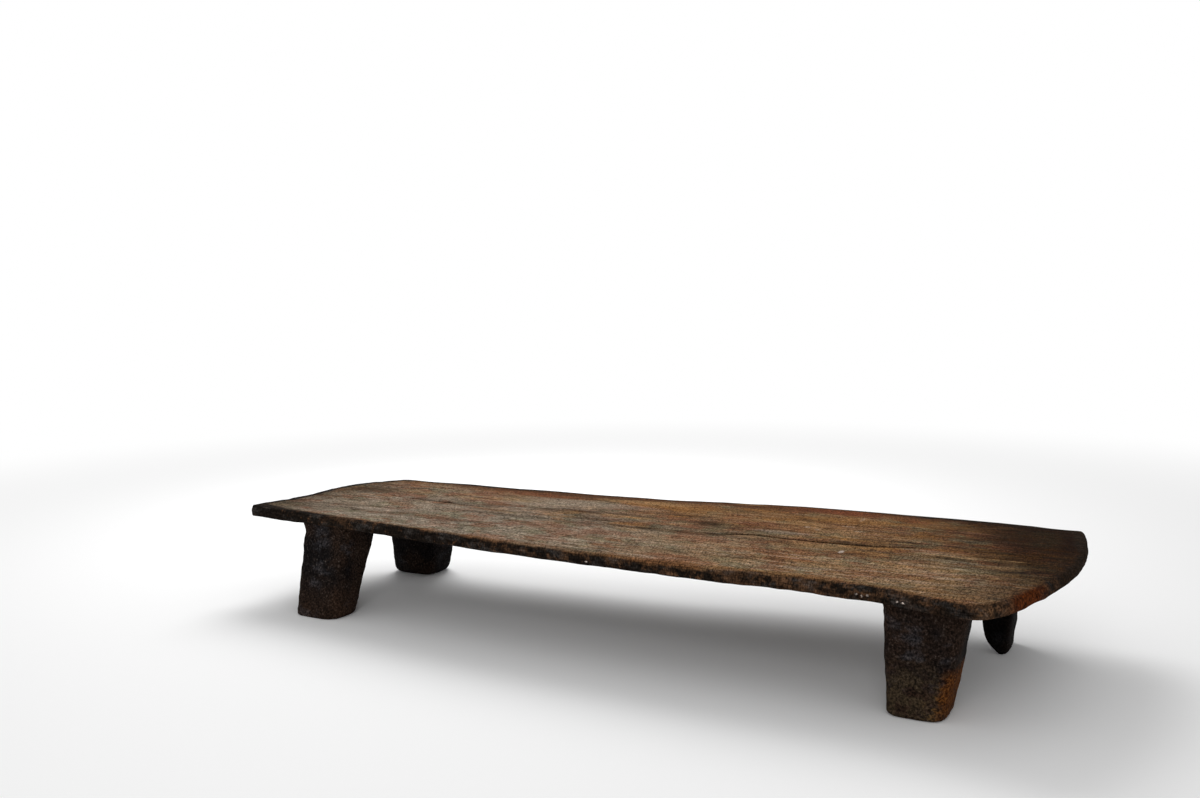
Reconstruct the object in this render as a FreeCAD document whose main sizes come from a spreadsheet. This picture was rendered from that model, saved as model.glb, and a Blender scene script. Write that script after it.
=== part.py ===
# A low daybed carved from one log, lengths in millimetres.
#
# The frame has its origin on the floor under the middle of the bed.
# X runs along the bed, towards the wide end. Y runs from the long side
# with the wider belly to the other long side. Z is up.
#
# The real bed is one piece of wood. Here the board and its four legs are
# five solids: each leg ends in a stub that fills a blind socket in the
# board, where the real wood runs on without a break.

import FreeCAD, Part
import os

import Sketcher

# The named sizes of the whole bed, of its board and of its legs.

SIZES = {
    # the whole bed
    "bed_length": 2083,
    "bed_width": 788,
    "leg_height": 235,
    # the board
    "board_thickness": 31,
    "corner_round": 20,
    "edge_bevel": 6,
    # what all the legs share
    "leg_corner": 36,
    "flare_reach": 13,
    "foot_round": 10,
    "worn_foot_round": 5,
    # the stub on each leg and its socket
    "stub_height": 14,
    "stub_shoulder": 28,
    "stub_corner": 12,
    "socket_play": 0.3,
    # drying checks and knots in the top
    "check_width": 3.2,
    "end_check_width": 5,
    "check_depth": 11,
    "knot_hole_radius": 4.5,
    "knot_hole_depth": 13,
    # the chip out of one foot and the wear on another
    "chip_reach": 20,
    "chip_height": 12,
    "wear_reach": 34,
    "wear_height": 32,
}

# Each leg: the size of its neck, just under the board, and of its foot.
LEGS = {
    "leg_front_left": {"neck_wide": 157, "neck_deep": 138,
                       "foot_wide": 144, "foot_deep": 112},
    "leg_front_right": {"neck_wide": 163, "neck_deep": 146,
                        "foot_wide": 120, "foot_deep": 130},
    "leg_back_left": {"neck_wide": 174, "neck_deep": 140,
                      "foot_wide": 148, "foot_deep": 122},
    "leg_back_right": {"neck_wide": 110, "neck_deep": 140,
                       "foot_wide": 51, "foot_deep": 112},
}

# Where each leg stands: the middle of its neck and of its foot, as
# shares of half the bed's length and of half its width. The feet of the
# narrow end stand further out than their necks, so those legs splay.
LEG_PLACE_SHARES = {
    "leg_front_left": {"neck": (-0.741, -0.462), "foot": (-0.7375, -0.6234)},
    "leg_front_right": {"neck": (0.7576, -0.647), "foot": (0.744, -0.642)},
    "leg_back_left": {"neck": (-0.760, 0.523), "foot": (-0.786, 0.600)},
    "leg_back_right": {"neck": (0.811, 0.665), "foot": (0.818, 0.580)},
}

# The outline of the board seen from above, as four hand-cut runs. Each
# pair is a share of half the length and a share of half the width.
FRONT_SHARES = (
    (-1.0043, -0.60), (-0.82, -0.638), (-0.60, -0.695), (-0.30, -0.777),
    (0.0, -0.825), (0.28, -0.857), (0.50, -0.852), (0.64, -0.876),
    (0.76, -0.946), (0.84, -0.999), (0.876, -0.984),
)
RIGHT_SHARES = (
    (0.876, -0.984), (0.903, -0.90), (0.924, -0.77), (0.950, -0.56),
    (0.979, -0.24), (0.997, 0.12), (0.9996, 0.40), (0.9955, 0.62),
    (0.978, 0.945),
)
BACK_SHARES = (
    (0.978, 0.945), (0.80, 0.983), (0.60, 0.993), (0.43, 0.998),
    (0.28, 0.967), (0.12, 0.905), (-0.02, 0.835), (-0.20, 0.795),
    (-0.38, 0.775), (-0.52, 0.748), (-0.72, 0.742), (-0.868, 0.704),
)
LEFT_SHARES = (
    (-0.868, 0.704), (-0.895, 0.62), (-0.945, 0.43), (-0.966, 0.27),
    (-0.970, 0.0), (-0.975, -0.25), (-0.994, -0.47), (-1.0043, -0.60),
)

# Where the drying checks run over the top, as shares of the same halves.
CHECK_SHARES = (
    ((-0.73, 0.096), (-0.67, 0.079), (-0.61, 0.056), (-0.545, 0.051),
     (-0.48, 0.031), (-0.40, 0.048)),
    ((0.22, -0.072), (0.31, -0.026), (0.40, -0.033), (0.50, -0.038),
     (0.56, -0.028), (0.60, -0.005), (0.645, 0.018), (0.69, 0.066)),
)
END_CHECK_SHARES = (
    (0.885, -0.29), (0.92, -0.282), (0.95, -0.24), (1.02, -0.20),
)
# How wide a check is at each quarter of its run, as shares of its width.
CHECK_WIDTH_SHARES = (0.0, 0.75, 1.0, 0.55, 0.0)

# A knot hole in the long check and one near the wide end.
KNOT_SHARES = ((-0.545, 0.051), (0.915, -0.575))

# Heights in a leg as shares of the leg height, and the share of the
# flare that is open at the throat.
NECK_SHARE = 0.82
THROAT_SHARE = 0.93
THROAT_FLARE_SHARE = 0.28

# Each upright corner of a leg is cut in three flats. These are the ends
# of the flats: how far along one side and how far in from the other, as
# shares of the corner.
FLAT_SHARES = ((1, 0), (0.5, 0.134), (0.134, 0.5), (0, 1))

# A pocket has to take at least this share of the wood it is cut into.
LEAST_CUT_SHARE = 0.000001

# A point on the rounding of a foot: how high it is and how far in, as
# shares of the rounding.
WELT_RISE_SHARE = 0.29
WELT_INSET_SHARE = 0.29


def leg_prefix(name):
    """The start of the sheet names that hold the sizes of one leg."""
    return name.replace("leg_", "") + "_"


def fill_sheet(doc):
    """Write every size into one sheet, each under its own name."""
    sheet = doc.addObject("Spreadsheet::Sheet", "sizes")
    values = dict(SIZES)
    for name, leg in LEGS.items():
        for key, value in leg.items():
            values[leg_prefix(name) + key] = value
        for end, (along, across) in LEG_PLACE_SHARES[name].items():
            values[leg_prefix(name) + end + "_along_share"] = along
            values[leg_prefix(name) + end + "_across_share"] = across
    for row, (alias, value) in enumerate(values.items(), start=1):
        sheet.set("A%d" % row, alias)
        sheet.set("B%d" % row, str(value))
        sheet.setAlias("B%d" % row, alias)
    doc.recompute()
    return sheet


def plane_of(body, role):
    """One of the origin planes of a body, found by its role."""
    for feature in body.Origin.OriginFeatures:
        if feature.Role == role:
            return feature
    raise ValueError("no plane " + role)


def new_body(doc, name):
    """An empty body that carries the name of its piece."""
    body = doc.addObject("PartDesign::Body", name)
    body.Label = name
    return body


def new_sketch(body, name, height, role="XY_Plane"):
    """A sketch on an origin plane, moved along its normal."""
    sketch = body.newObject("Sketcher::SketchObject", name)
    sketch.AttachmentSupport = [(plane_of(body, role), "")]
    sketch.MapMode = "FlatFace"
    if height:
        sketch.setExpression("AttachmentOffset.Base.z", height)
    return sketch


def bind(sketch, constraint, name, expression):
    """Add a driving size to a sketch and bind it to the sheet."""
    index = sketch.addConstraint(constraint)
    sketch.renameConstraint(index, name)
    sketch.setExpression("Constraints." + name, expression)


def place_point(sketch, geometry, position, name, at_x, at_y):
    """Hold one point of a sketch at a place given by two expressions."""
    origin = (-1, 1)
    point = sketch.getPoint(geometry, position)
    bind(sketch, Sketcher.Constraint("DistanceX", *origin, geometry,
                                     position, point.x), name + "X", at_x)
    bind(sketch, Sketcher.Constraint("DistanceY", *origin, geometry,
                                     position, point.y), name + "Y", at_y)


def rounded_rectangle(sketch, label, middle, half, corner, words):
    """Draw a rectangle with round corners, held by bound sizes.

    middle, half and corner are numbers for the first drawing. words
    holds the expressions for the four sides and the corner radius.
    """
    vector = FreeCAD.Vector
    left, right = middle[0] - half[0], middle[0] + half[0]
    front, back = middle[1] - half[1], middle[1] + half[1]
    first = sketch.GeometryCount
    ends = (
        ((left + corner, front), (right - corner, front)),
        ((right, front + corner), (right, back - corner)),
        ((right - corner, back), (left + corner, back)),
        ((left, back - corner), (left, front + corner)),
    )
    middles = (
        (right - corner, front + corner), (right - corner, back - corner),
        (left + corner, back - corner), (left + corner, front + corner),
    )
    quarter = 90
    for side in range(4):
        start, stop = ends[side]
        sketch.addGeometry(Part.LineSegment(vector(*start, 0),
                                            vector(*stop, 0)), False)
        circle = Part.Circle(vector(*middles[side], 0), vector(0, 0, 1),
                             corner)
        turn = FreeCAD.Units.Quantity("%d deg" % (quarter * (side - 1)))
        begin = turn.getValueAs("rad").Value
        finish = begin + FreeCAD.Units.Quantity("90 deg").getValueAs(
            "rad").Value
        sketch.addGeometry(Part.ArcOfCircle(circle, begin, finish), False)
    for side in range(4):
        line = first + 2 * side
        arc = line + 1
        following = first + (2 * side + 2) % 8
        sketch.addConstraint(Sketcher.Constraint("Tangent", line, 2, arc, 1))
        sketch.addConstraint(Sketcher.Constraint("Tangent", arc, 2,
                                                 following, 1))
        way = "Horizontal" if side % 2 == 0 else "Vertical"
        sketch.addConstraint(Sketcher.Constraint(way, line))
        if side:
            sketch.addConstraint(Sketcher.Constraint("Equal", first + 1,
                                                     arc))
    origin = (-1, 1)
    bind(sketch, Sketcher.Constraint("Radius", first + 1, corner),
         label + "Corner", words["corner"])
    bind(sketch, Sketcher.Constraint("DistanceY", *origin, first, 1, front),
         label + "Front", words["front"])
    bind(sketch, Sketcher.Constraint("DistanceX", *origin, first + 2, 1,
                                     right), label + "Right",
         words["right"])
    bind(sketch, Sketcher.Constraint("DistanceY", *origin, first + 4, 1,
                                     back), label + "Back", words["back"])
    bind(sketch, Sketcher.Constraint("DistanceX", *origin, first + 6, 1,
                                     left), label + "Left", words["left"])


def flat_cut_rectangle(sketch, middle, half, corner, words):
    """Draw a rectangle whose corners are each cut in three flats.

    It goes once round from the front side, and each end of a flat is
    held from the two sides that meet at its corner.
    """
    # For each corner: the side it ends on, left or right, the side,
    # front or back, and whether the round turns from Y to X there.
    turns = (("right", "front", False), ("right", "back", True),
             ("left", "back", False), ("left", "front", True))
    reach = {"left": middle[0] - half[0], "right": middle[0] + half[0],
             "front": middle[1] - half[1], "back": middle[1] + half[1]}
    into = {"left": 1, "right": -1, "front": 1, "back": -1}
    points, places = [], []
    for end, side, swap in turns:
        for shares in FLAT_SHARES:
            x_share, y_share = reversed(shares) if swap else shares
            points.append(FreeCAD.Vector(
                reach[end] + into[end] * x_share * corner,
                reach[side] + into[side] * y_share * corner, 0))
            places.append(tuple(
                "%s + %s * (%s)" % (words[edge], into[edge] * share,
                                    words["corner"])
                for edge, share in ((end, x_share), (side, y_share))))
    draw_closed(sketch, points)
    count = len(points)
    for number, (x_word, y_word) in enumerate(places):
        sketch.addConstraint(Sketcher.Constraint(
            "Coincident", number, 2, (number + 1) % count, 1))
        place_point(sketch, number, 1, "Flat%d" % number, x_word, y_word)


def volume_of(feature):
    """The volume of a feature once its document is up to date."""
    feature.Document.recompute()
    return feature.Shape.Volume


def add_pocket(body, sketch, name, depth, before):
    """Cut a sketch into a body, in whichever direction takes wood."""
    pocket = body.newObject("PartDesign::Pocket", name)
    pocket.Profile = sketch
    if depth is None:
        pocket.Type = "ThroughAll"
        pocket.Midplane = True
    else:
        pocket.setExpression("Length", depth)
    left = {}
    for way in (False, True):
        pocket.Reversed = way
        left[way] = volume_of(pocket) if pocket.isValid() else before
    pocket.Reversed = left[True] < left[False]
    after = volume_of(pocket)
    if not pocket.isValid() or before - after < before * LEAST_CUT_SHARE:
        raise ValueError(name + " takes no wood away")
    sketch.Visibility = False
    return pocket


def edge_names(shape, chosen):
    """The names of the edges that a test on an edge picks."""
    return ["Edge%d" % number
            for number, edge in enumerate(shape.Edges, start=1)
            if chosen(edge)]


def flat_at(level, reach):
    """A test for edges that lie in one level plane, within a reach."""
    def chosen(edge):
        box = edge.BoundBox
        return abs(box.ZMin - level) < reach and abs(box.ZMax - level) < reach
    return chosen


def dress_edges(body, base, kind, name, chosen, size):
    """Round or bevel the picked edges of a body by a size in the sheet.

    kind is Fillet for round edges and Chamfer for bevelled ones.
    """
    dress = body.newObject("PartDesign::" + kind, name)
    dress.Base = (base, edge_names(base.Shape, chosen))
    dress.setExpression("Radius" if kind == "Fillet" else "Size", size)
    dress.Document.recompute()
    if not dress.isValid():
        raise ValueError(name + " did not dress its edges")
    return dress


def plan_point(shares, level=0):
    """A pair of shares turned into a point of the plan."""
    return FreeCAD.Vector(shares[0] * SIZES["bed_length"] / 2,
                          shares[1] * SIZES["bed_width"] / 2, level)


def run_curve(run):
    """A smooth curve through one run of the hand-cut outline."""
    curve = Part.BSplineCurve()
    curve.interpolate([plan_point(pair) for pair in run])
    return curve


def spindle(run, width):
    """A long thin closed outline along a run, pointed at both ends.

    The width at each point follows the quarters in the width shares.
    """
    points = [plan_point(pair) for pair in run]
    lengths = [0]
    for here, after in zip(points, points[1:]):
        lengths.append(lengths[-1] + here.distanceToPoint(after))
    upper, lower = [], []
    for number, point in enumerate(points):
        before = points[max(number - 1, 0)]
        after = points[min(number + 1, len(points) - 1)]
        along = (after - before).normalize()
        across = FreeCAD.Vector(-along.y, along.x, 0)
        place = lengths[number] / lengths[-1] * (len(CHECK_WIDTH_SHARES) - 1)
        slot = min(int(place), len(CHECK_WIDTH_SHARES) - 2)
        low, high = CHECK_WIDTH_SHARES[slot:slot + 2]
        half = (low + (high - low) * (place - slot)) * width / 2
        upper.append(point + across * half)
        lower.append(point - across * half)
    return upper + lower[-2:0:-1]


def draw_closed(sketch, points):
    """Draw a closed outline of straight runs through points."""
    for here, after in zip(points, points[1:] + points[:1]):
        sketch.addGeometry(Part.LineSegment(here, after), False)


def build_board(doc):
    """The broad thin board, with its sockets, checks and knot holes."""
    body = new_body(doc, "bed_board")
    outline = new_sketch(body, "board_outline", "sizes.leg_height")
    for run in (FRONT_SHARES, RIGHT_SHARES, BACK_SHARES, LEFT_SHARES):
        outline.addGeometry(run_curve(run), False)
    pad = body.newObject("PartDesign::Pad", "board_slab")
    pad.Profile = outline
    pad.setExpression("Length", "sizes.board_thickness")
    doc.recompute()
    outline.Visibility = False

    def upright(edge):
        box = edge.BoundBox
        return box.ZLength > SIZES["board_thickness"] / 2

    corners = dress_edges(body, pad, "Fillet", "board_corners", upright,
                          "sizes.corner_round")
    reach = SIZES["board_thickness"] / 100
    under = SIZES["leg_height"]
    over = under + SIZES["board_thickness"]

    def rim(edge):
        return flat_at(under, reach)(edge) or flat_at(over, reach)(edge)

    slab = dress_edges(body, corners, "Chamfer", "board_edges", rim,
                       "sizes.edge_bevel")

    # One blind socket for the stub of each leg, from below.
    sockets = new_sketch(body, "socket_outlines", "sizes.leg_height")
    for number, name in enumerate(LEGS):
        middle, half, words = stub_plan(name, "sizes.socket_play")
        rounded_rectangle(sockets, "Socket%d" % number, middle, half,
                          SIZES["stub_corner"], words)
    cut = add_pocket(body, sockets, "leg_sockets",
                     "sizes.stub_height + sizes.socket_play",
                     slab.Shape.Volume)

    # The drying checks are open at the top and stop inside the board.
    top = "sizes.leg_height + sizes.board_thickness"
    checks = new_sketch(body, "check_outlines", top)
    for run in CHECK_SHARES:
        draw_closed(checks, spindle(run, SIZES["check_width"]))
    cut = add_pocket(body, checks, "long_checks", "sizes.check_depth",
                     cut.Shape.Volume)
    end_check = new_sketch(body, "end_check_outline", top)
    draw_closed(end_check, spindle(END_CHECK_SHARES,
                                   SIZES["end_check_width"]))
    cut = add_pocket(body, end_check, "end_check", "sizes.check_depth",
                     cut.Shape.Volume)

    knots = new_sketch(body, "knot_outlines", top)
    for number, pair in enumerate(KNOT_SHARES):
        point = plan_point(pair)
        knots.addGeometry(Part.Circle(point, FreeCAD.Vector(0, 0, 1),
                                      SIZES["knot_hole_radius"]), False)
        bind(knots, Sketcher.Constraint("Radius", number,
                                        SIZES["knot_hole_radius"]),
             "Knot%dRadius" % number, "sizes.knot_hole_radius")
        place_point(knots, number, 3, "Knot%d" % number,
                    "sizes.bed_length / 2 * (%s)" % pair[0],
                    "sizes.bed_width / 2 * (%s)" % pair[1])
    add_pocket(body, knots, "knot_holes", "sizes.knot_hole_depth",
               cut.Shape.Volume)
    return body


def inward(name):
    """Plus one where the bed lies on the plus Y side of a leg."""
    return 1 if LEG_PLACE_SHARES[name]["neck"][1] < 0 else -1


def leg_plan(name, height, rise_word, inset_share, flare_share):
    """The middle, half size, side expressions and corner of a section.

    The section runs in a straight line from the foot to the neck as it
    rises, and holds the neck size above that. The inset narrows it on
    all sides for the rounding of the foot. The flare widens it on every
    side but the outer long side, which stays under the board's edge.
    """
    leg, prefix = LEGS[name], "sizes." + leg_prefix(name)
    rise = min(height / (NECK_SHARE * SIZES["leg_height"]), 1)
    flare = flare_share * SIZES["flare_reach"]
    inset = inset_share * foot_round(name)
    front_flare, back_flare = (0, 1) if inward(name) > 0 else (1, 0)

    def number(key):
        if key in ("x", "y"):
            foot, neck = (leg_place(name, end)["xy".index(key)]
                          for end in ("foot", "neck"))
        else:
            foot, neck = leg["foot_" + key], leg["neck_" + key]
        return foot + rise * (neck - foot)

    def word(key):
        if key in ("x", "y"):
            foot, neck = (leg_place_words(name, end)["xy".index(key)]
                          for end in ("foot", "neck"))
        else:
            foot, neck = prefix + "foot_" + key, prefix + "neck_" + key
        return "(%s + %s * (%s - %s))" % (foot, rise_word, neck, foot)

    def side(key, size, way, open_share):
        return "%s %s (%s / 2 + %s * sizes.flare_reach - %s * %s)" % (
            word(key), way, word(size), open_share, inset_share,
            foot_round_word(name))

    middle = (number("x"), number("y") + (back_flare - front_flare) * flare / 2)
    half = (number("wide") / 2 + flare - inset,
            number("deep") / 2 + flare / 2 - inset)
    corner = SIZES["leg_corner"] * number("wide") / leg["neck_wide"] - inset
    words = {
        "left": side("x", "wide", "-", flare_share),
        "right": side("x", "wide", "+", flare_share),
        "front": side("y", "deep", "-", flare_share * front_flare),
        "back": side("y", "deep", "+", flare_share * back_flare),
        "corner": "sizes.leg_corner * %s / %sneck_wide - %s * %s" % (
            word("wide"), prefix, inset_share, foot_round_word(name)),
    }
    return middle, half, words, corner


def leg_place(name, end):
    """The middle of the neck or the foot of a leg, in the plan."""
    along, across = LEG_PLACE_SHARES[name][end]
    return (along * SIZES["bed_length"] / 2, across * SIZES["bed_width"] / 2)


def leg_place_words(name, end):
    """The same middle as two expressions on the sheet."""
    start = "sizes." + leg_prefix(name) + end
    return ("sizes.bed_length / 2 * %s_along_share" % start,
            "sizes.bed_width / 2 * %s_across_share" % start)


def foot_round(name):
    """How far the edges of a foot are rounded over."""
    return SIZES[foot_round_word(name).replace("sizes.", "")]


def foot_round_word(name):
    """The sheet name of the rounding of a foot."""
    worn = name == "leg_back_right"
    return "sizes.worn_foot_round" if worn else "sizes.foot_round"


def leg_levels(name):
    """The sections of a leg from the floor up.

    Each one is a name, a height, the same height on the sheet, its rise
    from foot to neck on the sheet, and its shares of inset and flare.
    """
    full, rounding = SIZES["leg_height"], foot_round(name)
    full_word, round_word = "sizes.leg_height", foot_round_word(name)
    run_word = "(%s * %s)" % (full_word, NECK_SHARE)
    welt_word = "%s * %s" % (round_word, WELT_RISE_SHARE)
    return (
        ("sole", 0, None, "0", 1, 0),
        ("welt", rounding * WELT_RISE_SHARE, welt_word,
         "(%s / %s)" % (welt_word, run_word), WELT_INSET_SHARE, 0),
        ("heel", rounding, round_word,
         "(%s / %s)" % (round_word, run_word), 0, 0),
        ("neck", full * NECK_SHARE, run_word, "1", 0, 0),
        ("throat", full * THROAT_SHARE,
         "%s * %s" % (full_word, THROAT_SHARE), "1", 0,
         THROAT_FLARE_SHARE),
        ("root", full, full_word, "1", 0, 1),
    )


def stub_plan(name, play):
    """The stub of a leg, or its socket when there is play around it."""
    leg, prefix = LEGS[name], "sizes." + leg_prefix(name)
    gap = SIZES["socket_play"] if play else 0
    extra = " + " + play if play else ""
    less = " - " + play if play else ""
    middle = leg_place(name, "neck")
    half = (leg["neck_wide"] / 2 - SIZES["stub_shoulder"] + gap,
            leg["neck_deep"] / 2 - SIZES["stub_shoulder"] + gap)
    x_word, y_word = leg_place_words(name, "neck")
    half_x = "(%sneck_wide / 2 - sizes.stub_shoulder)" % prefix
    half_y = "(%sneck_deep / 2 - sizes.stub_shoulder)" % prefix
    words = {
        "left": x_word + " - " + half_x + less,
        "right": x_word + " + " + half_x + extra,
        "front": y_word + " - " + half_y + less,
        "back": y_word + " + " + half_y + extra,
        "corner": "sizes.stub_corner",
    }
    return middle, half, words


def side_profile(body, name, points):
    """A closed profile in the plane of the long side, in bound corners.

    Each point is a pair of numbers and a pair of expressions, for X
    and for the height.
    """
    sketch = new_sketch(body, name, None, "XZ_Plane")
    places = [FreeCAD.Vector(*numbers, 0) for numbers, _ in points]
    draw_closed(sketch, places)
    count = len(points)
    for number, (_, (x_word, z_word)) in enumerate(points):
        sketch.addConstraint(Sketcher.Constraint(
            "Coincident", number, 2, (number + 1) % count, 1))
        place_point(sketch, number, 1, "Corner%d" % number, x_word, z_word)
    return sketch


def build_leg(doc, name):
    """One leg: a tapered block with a flared root, a stub and a foot."""
    body = new_body(doc, name)
    sections = []
    for level, height, word, rise_word, inset, flare in leg_levels(name):
        sketch = new_sketch(body, "%s_%s" % (name, level), word)
        middle, half, words, corner = leg_plan(name, height, rise_word,
                                               inset, flare)
        flat_cut_rectangle(sketch, middle, half, corner, words)
        sections.append(sketch)
    doc.recompute()
    loft = body.newObject("PartDesign::AdditiveLoft", name + "_block")
    loft.Profile = sections[0]
    loft.Sections = sections[1:]
    loft.Ruled = True
    doc.recompute()
    if name == "leg_back_right":
        wear_foot(body, name, loft)
    if name == "leg_front_left":
        chip_foot(body, name, loft)

    stub = new_sketch(body, name + "_stub_outline", "sizes.leg_height")
    middle, half, words = stub_plan(name, "")
    rounded_rectangle(stub, "Stub", middle, half, SIZES["stub_corner"],
                      words)
    pad = body.newObject("PartDesign::Pad", name + "_stub")
    pad.Profile = stub
    pad.setExpression("Length", "sizes.stub_height")
    doc.recompute()
    for sketch in sections + [stub]:
        sketch.Visibility = False
    return body


def foot_left(name):
    """The least X of a foot, as a number and as an expression."""
    number = leg_place(name, "foot")[0] - LEGS[name]["foot_wide"] / 2
    word = "%s - sizes.%sfoot_wide / 2" % (leg_place_words(name, "foot")[0],
                                           leg_prefix(name))
    return number, word


def wear_foot(body, name, base):
    """Take the worn slanting corner off the inner side of a foot."""
    left, left_word = foot_left(name)
    beyond = SIZES["wear_reach"]
    drop = SIZES["wear_height"]
    wear = side_profile(body, name + "_wear_outline", (
        ((left - beyond, 0), (left_word + " - sizes.wear_reach", "0 mm")),
        ((left + beyond, 0), (left_word + " + sizes.wear_reach", "0 mm")),
        ((left - beyond, 2 * drop),
         (left_word + " - sizes.wear_reach", "2 * sizes.wear_height")),
    ))
    return add_pocket(body, wear, name + "_wear", None, base.Shape.Volume)


def chip_foot(body, name, base):
    """Take a small step out of the outer side of a foot."""
    left, left_word = foot_left(name)
    reach, height = SIZES["chip_reach"], SIZES["chip_height"]
    chip = side_profile(body, name + "_chip_outline", (
        ((left - reach, 0), (left_word + " - sizes.chip_reach", "0 mm")),
        ((left + reach, 0), (left_word + " + sizes.chip_reach", "0 mm")),
        ((left + reach, height),
         (left_word + " + sizes.chip_reach", "sizes.chip_height")),
        ((left - reach, height),
         (left_word + " - sizes.chip_reach", "sizes.chip_height")),
    ))
    return add_pocket(body, chip, name + "_chip", None, base.Shape.Volume)


def main():
    """Build the five pieces, check them and write one file for each."""
    doc = FreeCAD.newDocument("daybed")
    fill_sheet(doc)
    bodies = [build_board(doc)]
    for name in LEGS:
        bodies.append(build_leg(doc, name))
    doc.recompute()
    for item in doc.Objects:
        if "Invalid" in item.State or "Error" in item.State:
            raise ValueError("not built: " + item.Name)
    os.makedirs("parts", exist_ok=True)
    for body in bodies:
        shape = body.Shape
        if shape.isNull() or not shape.isValid() or len(shape.Solids) != 1:
            raise ValueError("not one sound solid: " + body.Label)
        shape.exportStep("parts/%s.step" % body.Label)
        box = shape.optimalBoundingBox(False)
        print("%-16s volume %8.0f cm3  X %8.1f %8.1f  Y %7.1f %7.1f"
              "  Z %6.1f %6.1f" % (body.Label, shape.Volume / 1000,
                                   box.XMin, box.XMax, box.YMin, box.YMax,
                                   box.ZMin, box.ZMax))


main()
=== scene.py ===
# %% [markdown]
# # A carved daybed
#
# The real bed was cut from one log with an adze: a broad thin board on four
# short stout legs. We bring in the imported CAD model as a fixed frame, build
# the weathered wood over it as our own surfaces, and light it plainly. Every
# length is in metres and every piece shares the frame of the CAD model: X
# runs along the bed towards its wide end, Y towards the back, Z up from the
# floor.

import math
from types import SimpleNamespace

import bpy
import numpy as np
from mathutils import Matrix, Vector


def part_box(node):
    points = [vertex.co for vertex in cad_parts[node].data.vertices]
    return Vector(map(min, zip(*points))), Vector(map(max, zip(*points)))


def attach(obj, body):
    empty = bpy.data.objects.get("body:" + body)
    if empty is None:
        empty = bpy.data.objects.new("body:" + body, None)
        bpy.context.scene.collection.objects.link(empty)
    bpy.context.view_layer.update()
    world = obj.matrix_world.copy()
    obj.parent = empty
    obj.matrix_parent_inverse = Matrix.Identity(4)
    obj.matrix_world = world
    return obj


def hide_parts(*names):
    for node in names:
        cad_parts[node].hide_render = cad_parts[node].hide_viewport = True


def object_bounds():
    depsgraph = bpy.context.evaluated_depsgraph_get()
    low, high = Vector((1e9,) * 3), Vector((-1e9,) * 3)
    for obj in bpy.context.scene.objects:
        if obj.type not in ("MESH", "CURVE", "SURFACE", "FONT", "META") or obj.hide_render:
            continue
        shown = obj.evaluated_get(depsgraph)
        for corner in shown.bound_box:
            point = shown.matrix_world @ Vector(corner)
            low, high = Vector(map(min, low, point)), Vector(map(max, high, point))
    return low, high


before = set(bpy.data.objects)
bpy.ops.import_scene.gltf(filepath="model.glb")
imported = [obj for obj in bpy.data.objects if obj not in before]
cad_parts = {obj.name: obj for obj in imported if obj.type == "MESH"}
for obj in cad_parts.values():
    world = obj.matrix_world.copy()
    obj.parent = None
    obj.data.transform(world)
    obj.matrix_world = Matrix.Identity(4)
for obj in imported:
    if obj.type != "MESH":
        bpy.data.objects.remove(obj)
cad_low, cad_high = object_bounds()
HALF_LENGTH = (cad_high.x - cad_low.x) / 2
HALF_WIDTH = (cad_high.y - cad_low.y) / 2
BOARD_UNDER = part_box("bed_board")[0].z
BOARD_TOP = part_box("bed_board")[1].z
print("the CAD bed is %.3f long, %.3f wide and %.3f high"
      % (2 * HALF_LENGTH, 2 * HALF_WIDTH, cad_high.z))

# %% [markdown]
# ## Noise to carve with
#
# An adze never leaves a flat face, so each surface needs small soft bumps
# that are the same on every run. Blender's own noise lives in materials.
# Here we make value noise with numpy: random numbers on a lattice, blended
# smoothly between its points. A fixed seed gives the same bumps each time.


# %% Value noise
LATTICE = 32


def value_noise(points, cell, seed):
    """Smooth noise between -1 and 1 at an array of points.

    points has the shape (n, 3). Each point lies in a box of a lattice whose
    steps are cell. The eight random numbers at the corners of the box are
    blended with the smoothstep weight 3 f^2 - 2 f^3 in each direction. Each
    use has a seed of its own, so no two surfaces share their bumps.
    """
    table = np.random.default_rng(seed).uniform(-1, 1, (LATTICE,) * 3)
    place = np.asarray(points, float) / np.asarray(cell, float)
    base = np.floor(place).astype(int)
    part = place - base
    weight = part * part * (3 - 2 * part)
    total = np.zeros(len(place))
    for corner in np.ndindex(2, 2, 2):
        index = (base + corner) % LATTICE
        share = np.where(corner, weight, 1 - weight).prod(axis=1)
        total += share * table[index[:, 0], index[:, 1], index[:, 2]]
    return total


def layered_noise(points, cell, seed, layers=3):
    """Noise at several sizes: each layer is half as big and half as strong."""
    cell = np.asarray(cell, float)
    total = np.zeros(len(points))
    for layer in range(layers):
        part = 2 ** layer
        total += value_noise(points, cell / part, seed + layer) / part
    return total


print("noise on a lattice of %d steps each way" % LATTICE)

# %% [markdown]
# ## From arrays to a mesh
#
# foreach_set copies whole arrays into a mesh at once. That is far quicker
# than adding vertices one by one, and it keeps the shape a plain formula on
# a grid. Each piece ends as an object at the origin with its place in its
# vertices, as the CAD nodes have.


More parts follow.
